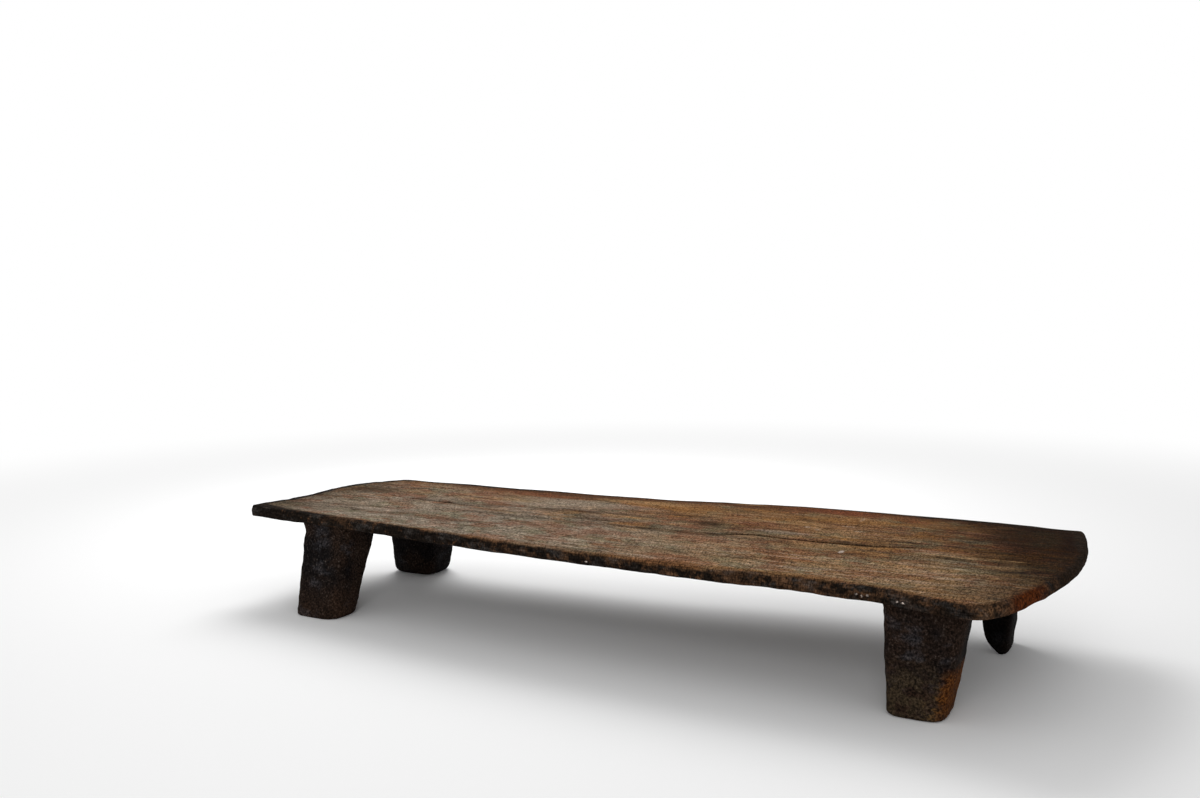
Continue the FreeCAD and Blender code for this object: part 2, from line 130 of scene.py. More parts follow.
# %% Mesh helper
def make_piece(name, vertices, quads, values=None):
    """A smooth-shaded object from vertices (n, 3) and quads (m, 4).

    values maps a name to one number per vertex, kept as an attribute that a
    material can read.
    """
    mesh = bpy.data.meshes.new(name)
    mesh.vertices.add(len(vertices))
    mesh.vertices.foreach_set("co", vertices.astype(np.float32).ravel())
    mesh.loops.add(quads.size)
    mesh.loops.foreach_set("vertex_index", quads.astype(np.int32).ravel())
    mesh.polygons.add(len(quads))
    mesh.polygons.foreach_set("loop_start",
                              np.arange(0, quads.size, 4, dtype=np.int32))
    mesh.update(calc_edges=True)
    mesh.validate()
    mesh.shade_smooth()
    for key, numbers in (values or {}).items():
        attribute = mesh.attributes.new(key, "FLOAT", "POINT")
        attribute.data.foreach_set("value", numbers.astype(np.float32))
    piece = bpy.data.objects.new(name, mesh)
    bpy.context.scene.collection.objects.link(piece)
    print("%s: %d vertices, %d quads" % (name, len(vertices), len(quads)))
    return piece


def grid_quads(rows, columns, wrap=False):
    """The quads of a grid whose vertices are numbered row by row.

    With wrap, the last column joins the first, as on a tube.
    """
    across = columns if wrap else columns - 1
    row, column = np.meshgrid(np.arange(rows - 1), np.arange(across),
                              indexing="ij")
    after = (column + 1) % columns
    corners = (row * columns + column, row * columns + after,
               (row + 1) * columns + after, (row + 1) * columns + column)
    return np.stack([c.ravel() for c in corners], axis=1)


print("a grid of 3 by 4 vertices has %d quads" % len(grid_quads(3, 4)))

# %% [markdown]
# ## The outline of the board
#
# The maker followed the log, so the board has no straight side. Its outline
# is four hand-cut runs, each a smooth curve through a few points, which are
# shares of half the length and half the width. We join the runs in a loop
# and average it along itself, which rounds the four corners as years of use
# do, and then add the wobble of the adze.

# %% The four runs
FRONT_RUN = (
    (-1.0045, -0.60), (-0.82, -0.638), (-0.60, -0.695), (-0.30, -0.777),
    (0.0, -0.825), (0.28, -0.857), (0.50, -0.852), (0.64, -0.876),
    (0.76, -0.946), (0.84, -0.999), (0.876, -0.984),
)
RIGHT_RUN = (
    (0.876, -0.984), (0.903, -0.90), (0.924, -0.77), (0.950, -0.56),
    (0.979, -0.24), (0.997, 0.12), (0.9996, 0.40), (0.9955, 0.62),
    (0.978, 0.945),
)
BACK_RUN = (
    (0.978, 0.945), (0.80, 0.983), (0.60, 0.993), (0.43, 0.998),
    (0.28, 0.967), (0.12, 0.905), (-0.02, 0.835), (-0.20, 0.795),
    (-0.38, 0.775), (-0.52, 0.748), (-0.72, 0.742), (-0.868, 0.704),
)
LEFT_RUN = (
    (-0.868, 0.704), (-0.895, 0.62), (-0.945, 0.43), (-0.966, 0.27),
    (-0.970, 0.0), (-0.975, -0.25), (-0.994, -0.47), (-1.0045, -0.60),
)

# %% Smooth curves through a few points
# Points worked out for each given point, before they are spaced evenly.
FINE_POINTS = 40


def walked_along(curve):
    """The distance walked along a curve from its start to each point."""
    return np.concatenate([[0], np.cumsum(
        np.linalg.norm(np.diff(curve, axis=0), axis=1))])


def points_at(curve, walked, distances):
    """Points on a curve at given distances along it."""
    return np.stack([np.interp(distances, walked, curve[:, axis])
                     for axis in range(2)], axis=1)


def resample(curve, count):
    """The same open curve with evenly spaced points."""
    walked = walked_along(curve)
    return points_at(curve, walked, np.linspace(0, walked[-1], count))


def smooth_curve(points, count):
    """Points evenly spaced along a smooth curve through a few points.

    Each coordinate is a natural cubic spline of the distance walked from
    point to point. Its second derivatives solve one small linear system.
    """
    points = np.asarray(points, float)
    walked = walked_along(points)
    gap = np.diff(walked)[:, None]
    slope = np.diff(points, axis=0) / gap
    size = len(points)
    matrix, right = np.eye(size), np.zeros_like(points)
    inner = np.arange(1, size - 1)
    matrix[inner, inner - 1] = gap[:-1, 0]
    matrix[inner, inner] = 2 * (gap[:-1, 0] + gap[1:, 0])
    matrix[inner, inner + 1] = gap[1:, 0]
    right[1:-1] = 6 * np.diff(slope, axis=0)
    bend = np.linalg.solve(matrix, right)
    fine = np.linspace(0, walked[-1], FINE_POINTS * size)
    k = np.clip(np.searchsorted(walked, fine) - 1, 0, size - 2)
    t, g = (fine - walked[k])[:, None], gap[k]
    more = bend[k + 1] - bend[k]
    curve = (points[k] + t * (slope[k] - g * (2 * bend[k] + bend[k + 1]) / 6)
             + t ** 2 * bend[k] / 2 + t ** 3 * more / (6 * g))
    return resample(curve, count)


hump = smooth_curve(((0, 0), (1, 1), (2, 0)), 50)
print("a hump 2 wide and 1 high is %.3f long" % walked_along(hump)[-1])


# %% The outline as one loop
OUTLINE_STEP = 0.0015
CORNER_SOFTNESS = 0.007
WOBBLE = 0.0009
# Points that are enough to measure a run before it is spaced evenly.
MEASURING_POINTS = 400


def on_plane(places):
    """Places (n, 2) in the plan as points (n, 3) at height 0."""
    return np.column_stack([places, np.zeros(len(places))])


def outward(line):
    """Unit normals that point out of a loop which runs anticlockwise."""
    along = np.roll(line, -3, axis=0) - np.roll(line, 3, axis=0)
    normal = np.stack([along[:, 1], -along[:, 0]], axis=1)
    return normal / np.linalg.norm(normal, axis=1)[:, None]


def outline_loop():
    """The closed outline of the board, and where its four corners are.

    The loop is blurred along itself with a Gaussian weight, so each corner
    turns into a curve. The wobble moves each point along its normal.
    """
    runs, corners, total = [], [], 0
    for shares in (FRONT_RUN, RIGHT_RUN, BACK_RUN, LEFT_RUN):
        run = np.array(shares) * np.array([HALF_LENGTH, HALF_WIDTH])
        length = walked_along(smooth_curve(run, MEASURING_POINTS))[-1]
        corners.append(total)
        runs.append(smooth_curve(run, int(length / OUTLINE_STEP) + 1)[:-1])
        total += len(runs[-1])
    line = np.concatenate(runs)
    reach = int(4 * CORNER_SOFTNESS / OUTLINE_STEP)
    shifts = np.arange(-reach, reach + 1)
    steps = shifts * OUTLINE_STEP
    weight = np.exp(-steps ** 2 / (2 * CORNER_SOFTNESS ** 2))
    weight /= weight.sum()
    line = sum(w * np.roll(line, shift, axis=0)
               for w, shift in zip(weight, shifts))
    flat = on_plane(line)
    wobble = WOBBLE * (layered_noise(flat, 0.05, 11)
                       + 0.7 * value_noise(flat, 0.21, 12))
    return line + wobble[:, None] * outward(line), corners


loop, corner_places = outline_loop()
print("outline of %d points, X %.3f to %.3f, Y %.3f to %.3f"
      % (len(loop), loop[:, 0].min(), loop[:, 0].max(),
         loop[:, 1].min(), loop[:, 1].max()))

# %% [markdown]
# ## The long drying check
#
# The log dried and split along its heart. The split runs nearly the whole
# length of the top: tight in places, open in others, and on the wide half
# the wood behind it stands a little higher than the wood in front. The grid
# of the board has one of its lines exactly on this split, and more lines
# close beside it, so that the groove can be narrow and crisp.

# %% Where the check runs
CHECK_PATH = (
    (-1.05, 0.052), (-0.90, 0.048), (-0.760, 0.038), (-0.702, 0.031),
    (-0.633, 0.022), (-0.568, 0.020), (-0.502, 0.012), (-0.420, 0.019),
    (-0.33, 0.028), (-0.256, 0.036), (-0.209, 0.028), (-0.145, 0.009),
    (-0.078, -0.008), (0.038, -0.019), (0.112, -0.030), (0.184, -0.022),
    (0.234, -0.028), (0.322, -0.010), (0.414, -0.013), (0.519, -0.015),
    (0.585, -0.011), (0.627, -0.002), (0.670, 0.007), (0.720, 0.026),
    (0.80, 0.030), (0.92, 0.034), (1.05, 0.040),
)
CHECK_OPEN = (
    (-1.0, 0.0), (-0.80, 0.0), (-0.72, 0.45), (-0.60, 0.75), (-0.56, 1.0),
    (-0.50, 0.8), (-0.44, 0.55), (-0.38, 0.1), (-0.28, 0.1), (-0.20, 0.3),
    (-0.05, 0.25), (0.10, 0.2), (0.20, 0.3), (0.25, 0.8), (0.36, 0.7),
    (0.45, 0.85), (0.53, 1.0), (0.62, 0.9), (0.70, 0.5), (0.76, 0.0),
    (1.0, 0.0),
)
CHECK_STEP = (
    (-1.0, 0.0), (-0.80, 0.0), (-0.60, 0.0008), (-0.45, 0.0006), (-0.30, 0.0),
    (0.15, 0.0), (0.28, 0.0016), (0.55, 0.0022), (0.66, 0.0018), (0.78, 0.0),
    (1.0, 0.0),
)
# Painted shade in a band behind the check, most of it towards the wide end.
SHADE_BEHIND_CHECK = (
    (-1.0, 0.0), (-0.75, 0.1), (-0.60, 0.4), (-0.45, 0.3), (-0.35, 0.1),
    (-0.22, 0.5), (-0.08, 0.4), (0.05, 0.4), (0.16, 0.5), (0.24, 0.2),
    (0.45, 0.30), (0.55, 0.6), (0.72, 0.65), (0.82, 0.3), (0.92, 0.0),
    (1.0, 0.0),
)
CHECK_POINTS = 3000


def along_bed(table, x):
    """A value that changes along the bed, read from pairs (x, value)."""
    pairs = np.array(table)
    return np.interp(x, pairs[:, 0], pairs[:, 1])


check_line = smooth_curve(CHECK_PATH, CHECK_POINTS)
print("the check wanders over %.3f m across the bed"
      % (check_line[:, 1].max() - check_line[:, 1].min()))

# %% [markdown]
# ## The board
#
# A board with a wandering outline can still be one grid. Two Coons patches,
# one in front of the check and one behind it, fill the space between their
# four border curves: blend the front and back curves, blend the left and
# right ones, and take away the blend of the corners. The same grid serves
# the underside, and rings of vertices round the rim join the two faces.

# %% Grid lines across and along
CELLS_ALONG = 326
CELLS_ACROSS = 61
LINES_AT_CHECK = (0.0006, 0.0007, 0.0009, 0.0012, 0.0017, 0.0026, 0.0040)
# About how far the check lies from the rim.
RIM_TO_CHECK = 0.33


def places_across(width):
    """Shares from 0 at the rim to 1 at the check, closer near the check."""
    near = np.array(LINES_AT_CHECK)
    rest = np.full(CELLS_ACROSS - len(near),
                   (width - near.sum()) / (CELLS_ACROSS - len(near)))
    return np.concatenate([[0], np.cumsum(np.concatenate(
        [rest, near[::-1]]))]) / width


def coons(front, back, left, right, shares):
    """Fill four border curves that meet at their ends.

    front and back have the same count of points, and left and right have
    one point for each share. The grid is the blend of front and back, plus
    the blend of left and right, less the blend of the four corners.
    """
    u = np.linspace(0, 1, len(front))[None, :, None]
    w = shares[:, None, None]
    long_blend = (1 - w) * front[None] + w * back[None]
    short_blend = (1 - u) * left[:, None] + u * right[:, None]
    corners = ((1 - w) * ((1 - u) * front[0] + u * front[-1])
               + w * ((1 - u) * back[0] + u * back[-1]))
    return long_blend + short_blend - corners


print("%d lines from rim to check" % len(places_across(RIM_TO_CHECK)))


# %% The plan of the board
RIM_INSET = 0.012
# The path of the check ends this far inside the two ends of the grid.
CHECK_END_GAP = 0.002
# Every eighth point of a border is enough to find where the check meets it.
COARSE_STEP = 8


def at_shares(curve, shares):
    """Points on a curve at shares of its length."""
    walked = walked_along(curve)
    return points_at(curve, walked, shares * walked[-1])


def nearest_to(curve, path):
    """The point of a path that comes nearest to a curve."""
    gaps = np.linalg.norm(path[:, None] - curve[None, ::COARSE_STEP], axis=2)
    return path[gaps.min(axis=1).argmin()]


def cut_at(curve, point):
    """Cut a curve in two at the place that is nearest to a point."""
    place = np.linalg.norm(curve - point, axis=1).argmin()
    return curve[:place + 1], curve[place:]


def board_plan():
    """The plan of the face grid: rows from front to back, in (x, y).

    The rim of the grid lies inside the outline by the inset, so that the
    edge can be rounded over outside it.
    """
    inner = loop - RIM_INSET * outward(loop)
    ends = corner_places + [len(loop)]
    front, right, back, left = (
        np.concatenate([inner[a:b], inner[b % len(loop)][None]])
        for a, b in zip(ends, ends[1:]))
    back, left = back[::-1], left[::-1]
    left_front, left_back = cut_at(left, nearest_to(left, check_line))
    wide_half = check_line[check_line[:, 0] > 0]
    right_front, right_back = cut_at(right, nearest_to(right, wide_half))
    kept = ((check_line[:, 0] > left_front[-1, 0] + CHECK_END_GAP)
            & (check_line[:, 0] < right_front[-1, 0] - CHECK_END_GAP))
    middle = np.concatenate([left_front[-1:], check_line[kept],
                             right_front[-1:]])
    front, middle, back = (resample(curve, CELLS_ALONG + 1)
                           for curve in (front, middle, back))
    near = places_across(RIM_TO_CHECK)
    far = 1 - near[::-1]
    lower = coons(front, middle, at_shares(left_front, near),
                  at_shares(right_front, near), near)
    upper = coons(middle, back, at_shares(left_back, far),
                  at_shares(right_back, far), far)
    return np.concatenate([lower, upper[1:]])


plan = board_plan()
ROWS, COLUMNS = plan.shape[:2]
print("face grid of %d rows by %d columns" % (ROWS, COLUMNS))

# %% [markdown]
# ### The carved top and underside
#
# The top is not flat. Broad shallow hollows, left by the adze and deepened
# by sleepers, run across it. Shorter scallops lie along the grain. The
# underside has never been rubbed, so its adze marks are deeper.

# %% Heights over the plan
SAG = 0.0011
SCALLOP = 0.0006
GOUGE = -0.0030
# Only noise above this share cuts a gouge.
GOUGE_ABOVE = 0.35
# The step at the check: over what width it rises and how far it fades.
STEP_WIDTH = 0.0012
STEP_FADE = 0.09
CHECK_DEPTH = 0.008
CHECK_HALF_WIDTH = 0.0021
CHECK_UNEVEN = 0.35
UNDER_SCALLOP = 0.0011
# The underside rises towards the wide end, from this X on and over this run.
THIN_END = 0.0045
THIN_FROM = 0.80
THIN_RUN = 0.20


def top_relief(places):
    """The height of the top over its nominal plane.
    """
    x, y = places[:, 0], places[:, 1]
    flat = on_plane(places)
    height = SAG * layered_noise(flat, (0.42, 0.17, 1), 21, 2)
    height += SCALLOP * layered_noise(flat, (0.11, 0.024, 1), 23, 2)
    cut = value_noise(flat, (0.16, 0.03, 1), 25)
    height += GOUGE * np.clip(cut - GOUGE_ABOVE, 0, None)
    off = y - np.interp(x, check_line[:, 0], check_line[:, 1])
    behind = np.clip(off / STEP_WIDTH + 0.5, 0, 1)
    fade = np.exp(-np.clip(off, 0, None) / STEP_FADE)
    height += along_bed(CHECK_STEP, x) * behind * fade
    uneven = CHECK_UNEVEN * value_noise(flat, 0.02, 27)
    spread = CHECK_HALF_WIDTH * (1 + uneven)
    groove = np.exp(-(off / spread) ** 2) * along_bed(CHECK_OPEN, x)
    return height - CHECK_DEPTH * groove, groove, off


def under_relief(places):
    """The height of the underside over its plane: adze marks, a thin end."""
    flat = on_plane(places)
    thin = THIN_END * np.clip((places[:, 0] - THIN_FROM) / THIN_RUN, 0, 1)
    return thin + UNDER_SCALLOP * (
        value_noise(flat, (0.07, 0.045, 1), 31)
        + 0.5 * value_noise(flat, (0.025, 0.03, 1), 33))


board_places = plan.reshape(-1, 2)
top_heights, groove, check_off = top_relief(board_places)
under_heights = under_relief(board_places)
print("the top lies %.1f to %.1f mm off its plane"
      % (1000 * top_heights.min(), 1000 * top_heights.max()))

# %% [markdown]
# ### The rolled rim
#
# The edge was cut by eye and rubbed by years of use, so it is rounder over
# its middle than under it, and never quite straight. A bevel would give it
# one even radius. We lay rings of vertices round it instead, each a little
# further over the edge, and dent every ring by noise.

# %% The rim
RIM_RINGS = 15
# How square the edge is over its middle and under it.
RIM_POWER_OVER = 2.2
RIM_POWER_UNDER = 4.0
EDGE_DENT = 0.0013
UNDER_LUMP = 0.0013
ring_angles = np.linspace(0, math.pi, RIM_RINGS + 2)[1:-1]


def border(grid):
    """The border of a grid as one anticlockwise loop, corners once each."""
    return np.concatenate([grid[0, :-1], grid[:-1, -1],
                           grid[-1, :0:-1], grid[:0:-1, 0]])


def rim_rings(edge, high, low):
    """Rings of vertices from the top's border round to the underside's.

    Each ring turns by an angle from 0 to 180 degrees. Going out it follows
    a superellipse, |out|^n + |up|^n = 1, so the edge is round over and
    under and nearly upright in between.
    """
    near = np.linalg.norm(edge[:, None] - loop[None], axis=2).argmin(axis=1)
    out = outward(loop)[near]
    reach = np.einsum("ij,ij->i", loop[near] - edge, out)
    middle, half = (high + low) / 2, (high - low) / 2
    lump = value_noise(on_plane(edge), (0.055, 0.055, 1), 43)
    rings = []
    for angle in ring_angles:
        power = 2 / (RIM_POWER_OVER if angle < math.pi / 2
                     else RIM_POWER_UNDER)
        far = math.sin(angle) ** power
        rise = math.copysign(abs(math.cos(angle)) ** power, math.cos(angle))
        ring = np.column_stack([edge + out * (reach * far)[:, None],
                                middle + half * rise])
        dent = EDGE_DENT * layered_noise(ring, (0.035, 0.035, 0.012), 41)
        ring[:, :2] += out * (dent * far)[:, None]
        ring[:, 2] += UNDER_LUMP * (angle / math.pi) ** 2 * lump
        rings.append(ring)
    return rings


rim_numbers = border(np.arange(len(board_places)).reshape(ROWS, COLUMNS))
print("%d rings of %d vertices round the rim" % (RIM_RINGS, len(rim_numbers)))

# %% [markdown]
# ### What the vertices tell the finish
#
# The mesh can, so it keeps three numbers at each vertex, and the finish
# reads them as attributes. They follow the wandering lines exactly, which
# no pattern on coordinates would.

# %% Numbers for each vertex of the board
# How far in from its border the top counts as margin.
MARGIN = 0.060
CHECK_SHADE_HALF_WIDTH = 0.0056
# The middle of the painted shade band lies this far behind the check.
SHADE_BEHIND_OFF = 0.014
SHADE_BEHIND_HALF_WIDTH = 0.017


def bell(distance, half_width):
    """1 where the distance is 0, falling as exp(-(distance / width)^2)."""
    return np.exp(-(distance / half_width) ** 2)


def board_marks():
    """Three numbers for each vertex, in the order top, underside, rings.

    rim is -1 inside the top, 0 at its border and 1 on the underside. crack
    is how deep the groove is. The third number is painted shade in the open
    check and in a band behind it.
    """
    x = board_places[:, 0]
    sides = (plan[:1], plan[-1:], plan[:, :1], plan[:, -1:])
    margin = np.min([np.linalg.norm(plan - side, axis=2)
                     for side in sides], axis=0).ravel()
    rim = np.concatenate([
        -np.clip(margin / MARGIN, 0, 1), np.ones(len(x)),
        np.repeat(ring_angles / math.pi, len(rim_numbers))])
    # Painted shade in the open check, and a painted shade band behind it.
    check_shade = bell(check_off, CHECK_SHADE_HALF_WIDTH) * along_bed(CHECK_OPEN, x)
    shade_behind = (bell(check_off - SHADE_BEHIND_OFF, SHADE_BEHIND_HALF_WIDTH)
             * along_bed(SHADE_BEHIND_CHECK, x))
    clean = np.zeros(len(x) + RIM_RINGS * len(rim_numbers))
    return {"rim": rim, "crack": np.concatenate([groove, clean]),
            "check_shade": np.concatenate([np.maximum(check_shade, shade_behind), clean])}


marks = board_marks()
print("painted shade in or behind the check at %d vertices of the top"
      % (marks["check_shade"] > 0.1).sum())


# %% The whole board
def board_quads():
    """Quads of the top, of the underside turned over, and of the rim."""
    count, size = len(board_places), len(rim_numbers)
    face = grid_quads(ROWS, COLUMNS)
    ladder = np.concatenate([
        rim_numbers, 2 * count + np.arange(RIM_RINGS * size),
        count + rim_numbers])
    tube = grid_quads(RIM_RINGS + 2, size, wrap=True)
    return np.concatenate([face, count + face[:, ::-1],
                           ladder[tube][:, ::-1]])


def build_board():
    """Two faces of the same grid, and a rim of rings between their borders."""
    top = np.column_stack([board_places, BOARD_TOP + top_heights])
    under = np.column_stack([board_places, BOARD_UNDER + under_heights])
    rings = rim_rings(top[rim_numbers, :2], top[rim_numbers, 2],
                      under[rim_numbers, 2])
    return make_piece("carved_board", np.concatenate([top, under] + rings),
                      board_quads(), marks)


board = build_board()
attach(board, "root")
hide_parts("bed_board")

# %% [markdown]
# ## The legs
#
# Each leg is a tapered block left standing when the log was hollowed out
# under the board. Its corners are soft, its sides bear adze marks, it opens
# into the board in a short flare, and its foot is rounded by dragging. A
# leg is a section carried up a line: at each height a rounded rectangle,
# the superellipse |x/a|^n + |y/b|^n = 1, and its size changes with height.

# %% Sizes of the legs
# name: neck (wide, deep), foot (wide, deep), neck middle, foot middle. The
# middles are shares of half the length and half the width. They follow the
# CAD nodes to within a few millimetres.
LEGS = {
    "leg_front_left": ((0.157, 0.138), (0.139, 0.112),
                       (-0.741, -0.462), (-0.742, -0.6234)),
    "leg_front_right": ((0.163, 0.146), (0.120, 0.130),
                        (0.759, -0.647), (0.744, -0.642)),
    "leg_back_left": ((0.174, 0.140), (0.148, 0.122),
                      (-0.760, 0.523), (-0.786, 0.600)),
    "leg_back_right": ((0.104, 0.140), (0.051, 0.112),
                       (0.814, 0.665), (0.819, 0.580)),
}

# %% How square and how round the legs are
# How square the foot is at its left and at its right side, and the neck.
FOOT_POWER = {"leg_front_left": (5.5, 3.0), "leg_front_right": (4.5, 3.8)}
FOOT_POWER_USUAL = (4.2, 4.2)
NECK_POWER = 5.5
# The radius at the border of the sole.
FOOT_ROUND = {"leg_back_right": 0.006, "leg_front_left": 0.009,
              "leg_back_left": 0.021}
FOOT_ROUND_USUAL = 0.011
LEG_INTO_BOARD = 0.009
# The neck is at this share of the height, and the flare opens above it.
NECK_SHARE = 0.90
FLARE = 0.005
LEG_ROWS = 130
FOOT_ROWS = 8
LEG_COLUMNS = 168
around = np.linspace(0, 2 * math.pi, LEG_COLUMNS, endpoint=False)
print("each leg has %d rows of %d points" % (LEG_ROWS, LEG_COLUMNS))


# %% The side of a leg
def leg_heights(name):
    """Row heights, and how far each row goes in at the rounded foot.

    Near the floor all sides go in by r - sqrt(r^2 - (r - z)^2).
    """
    curve = FOOT_ROUND.get(name, FOOT_ROUND_USUAL)
    bend = np.linspace(0, math.pi / 2, FOOT_ROWS + 1)[:-1]
    heights = np.concatenate([
        curve * (1 - np.cos(bend)),
        np.linspace(curve, BOARD_UNDER + LEG_INTO_BOARD,
                    LEG_ROWS - FOOT_ROWS)])
    inset = np.where(heights < curve, curve - np.sqrt(np.clip(
        curve ** 2 - (curve - heights) ** 2, 0, None)), 0)
    return heights, inset


def leg_surface(name):
    """The side of a leg as a grid of points, rows from the foot up.

    Under the neck the half sizes and the middle go in a straight line with
    height. Above it they stay, and the flare opens as the square of the
    rise. Each row is a superellipse in polar form: its distance from the
    middle is (|cos / a|^n + |sin / b|^n)^(-1/n).
    """
    neck, foot, neck_at, foot_at = LEGS[name]
    heights, inset = leg_heights(name)
    neck_height = NECK_SHARE * BOARD_UNDER
    rise = np.clip(heights / neck_height, 0, 1)
    opening = np.clip((heights - neck_height)
                      / ((1 - NECK_SHARE) * BOARD_UNDER), 0, 1) ** 2 * FLARE
    size = np.array([HALF_LENGTH, HALF_WIDTH])
    start, stop = np.array(foot_at) * size, np.array(neck_at) * size
    middle = start + rise[:, None] * (stop - start)
    middle[:, 1] += np.sign(-neck_at[1]) * opening / 2
    half_x = (foot[0] + rise * (neck[0] - foot[0])) / 2 - inset + opening
    half_y = (foot[1] + rise * (neck[1] - foot[1])) / 2 - inset + opening / 2
    to_left, to_right = FOOT_POWER.get(name, FOOT_POWER_USUAL)
    power = to_right + (to_left - to_right) * (1 - np.cos(around)[None]) / 2
    power = power + rise[:, None] * (NECK_POWER - power)
    reach = (np.abs(np.cos(around)[None] / half_x[:, None]) ** power
             + np.abs(np.sin(around)[None] / half_y[:, None]) ** power
             ) ** (-1 / power)
    x = middle[:, 0, None] + reach * np.cos(around)
    y = middle[:, 1, None] + reach * np.sin(around)
    z = np.broadcast_to(heights[:, None], x.shape)
    return np.stack([x, y, z], axis=-1)


# %% [markdown]
# ### Wear on the legs
#
# The adze left shallow dents on all sides. One front foot has lost a chip,
# and the back foot at the wide end is worn on a slant. Each of these moves
# vertices of the grid that is there already, which keeps the leg closed.

# %% Dents, the chipped foot and the worn foot
LEG_DENT = 0.0022
LEG_SEED = 50
# The dents fade over this height above the floor.
SOLE_FADE = 0.012
CHIPPED_LEG = "leg_front_left"
CHIP = {"reach": 0.011, "height": 0.012, "fade": 0.002, "row": 12}
WORN_LEG = "leg_back_right"
WEAR = {"reach": 0.034, "height": 0.032}


def worn_off(rows):
    """Raise what lies under the slanting wear, which falls from the left."""
    neck, foot, neck_at, foot_at = LEGS[WORN_LEG]
    left = foot_at[0] * HALF_LENGTH - foot[0] / 2
    floor = WEAR["height"] * (1 - (rows[..., 0] - left) / WEAR["reach"])
    rows[..., 2] = np.maximum(rows[..., 2], floor)
    return rows


def carve(name, grid):
    """Push the side in and out along its direction by noise.

    The noise fades at the sole, so that the foot still stands flat.
    """
    seed = LEG_SEED + 10 * sorted(LEGS).index(name)
    flat = grid.reshape(-1, 3)
    dent = (layered_noise(flat, (0.045, 0.045, 0.030), seed)
            + 1.4 * value_noise(flat, (0.09, 0.09, 0.11), seed + 5))
    dent = dent.reshape(grid.shape[:2]) * LEG_DENT
    dent *= np.clip(grid[..., 2] / SOLE_FADE, 0, 1)
    moved = grid.copy()
    moved[..., 0] += dent * np.cos(around)
    moved[..., 1] += dent * np.sin(around)
    if name == CHIPPED_LEG:
        edge = grid[CHIP["row"], :, 0].min() + CHIP["reach"]
        low = np.clip((CHIP["height"] - grid[..., 2]) / CHIP["fade"], 0, 1)
        moved[..., 0] += np.clip(edge - moved[..., 0], 0, None) * low
    return moved if name != WORN_LEG else worn_off(moved)


# %% Whole legs
# Sizes of the rings that close the sole and the hidden top.
SOLE_SHARES = (0.02, 0.25, 0.5, 0.75, 0.92)
CAP_SHARES = (0.6, 0.02)


def shrunk(ring, shares):
    """Copies of a ring drawn towards its middle by each share."""
    middle = ring.mean(axis=0)
    return np.array([middle + (ring - middle) * share for share in shares])


def closing_fan(centre, start):
    """Quads from a centre vertex to a ring, each over two of its edges."""
    ring = np.arange(0, LEG_COLUMNS, 2)
    return np.stack([np.full(len(ring), centre), start + ring,
                     start + ring + 1, start + (ring + 2) % LEG_COLUMNS],
                    axis=1)


def build_leg(name):
    """A carved side closed by a sole below and a hidden cap above."""
    grid = carve(name, leg_surface(name))
    rows = np.concatenate([shrunk(grid[0], SOLE_SHARES), grid,
                           shrunk(grid[-1], CAP_SHARES)])
    if name == WORN_LEG:
        rows = worn_off(rows)
    ends = np.stack([rows[0].mean(axis=0), rows[-1].mean(axis=0)])
    vertices = np.concatenate([rows.reshape(-1, 3), ends])
    below, above = len(vertices) - 2, len(vertices) - 1
    sole = closing_fan(below, 0)[:, [0, 3, 2, 1]]
    lid = closing_fan(above, (len(rows) - 1) * LEG_COLUMNS)
    side = grid_quads(len(rows), LEG_COLUMNS, wrap=True)
    return make_piece(name.replace("leg_", "carved_leg_"), vertices,
                      np.concatenate([side, sole, lid]))


legs = {}
for leg_name in LEGS:
    legs[leg_name] = build_leg(leg_name)
    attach(legs[leg_name], "root")
    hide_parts(leg_name)

# %% [markdown]
# ## Finishes
#
# Old dry wood is never one colour. Each finish is mixed in shader nodes from
# Object coordinates, which are metres here, so the grain lies along the bed
# on every piece. A finish starts from one or two base colours and lays
# others over them, each through a mask. A mask is a noise, a place on the
# bed or a sum of both, cut by a ramp. Two effects are node groups with named
# sockets: the long grain, and the dark split that is drawn several times.


# %% Node helpers
# Where the Mix node has its two colours and its result.
COLOR_A, COLOR_B, COLOR_OUT = 6, 7, 2


def link(tree, source, target):
    """Join an output to an input; a plain number or colour is set instead."""
    if isinstance(source, bpy.types.NodeSocket):
        tree.links.new(source, target)
    else:
        target.default_value = source


def math_node(tree, operation, first, second=0.0, third=0.0, clamp=False):
    """One Math node. Each input is a socket or a number."""
    node = tree.nodes.new("ShaderNodeMath")
    node.operation, node.use_clamp = operation, clamp
    for socket, value in zip(node.inputs, (first, second, third)):
        link(tree, value, socket)
    return node.outputs[0]


def vector_node(tree, operation, *values):
    """One Vector Math node, for its sockets."""
    node = tree.nodes.new("ShaderNodeVectorMath")
    node.operation = operation
    for socket, value in zip(node.inputs, values):
        link(tree, value, socket)
    return node


def product(tree, first, *others):
    """The product of masks and numbers."""
    for other in others:
        first = math_node(tree, "MULTIPLY", first, other)
    return first


def field(tree, base, *terms):
    """A sum of weighted sockets, to be cut into a mask by a ramp."""
    for socket, weight in terms:
        base = math_node(tree, "MULTIPLY_ADD", socket, weight, base)
    return base


def ramp(tree, value, low, high, to_low=0.0, to_high=1.0):
    """Turn a value from low..high into to_low..to_high, smoothly clamped.

    A low that is above high turns the mask round.
    """
    node = tree.nodes.new("ShaderNodeMapRange")
    node.interpolation_type = "SMOOTHSTEP"
    settings = (value, low, high, to_low, to_high)
    for socket, setting in zip(node.inputs, settings):
        link(tree, setting, socket)
    return node.outputs["Result"]


def mix(tree, factor, first, second, blend="MIX"):
    """Mix two colours by a factor."""
    node = tree.nodes.new("ShaderNodeMix")
    node.data_type, node.blend_type = "RGBA", blend
    link(tree, factor, node.inputs["Factor"])
    link(tree, first, node.inputs[COLOR_A])
    link(tree, second, node.inputs[COLOR_B])
    return node.outputs[COLOR_OUT]


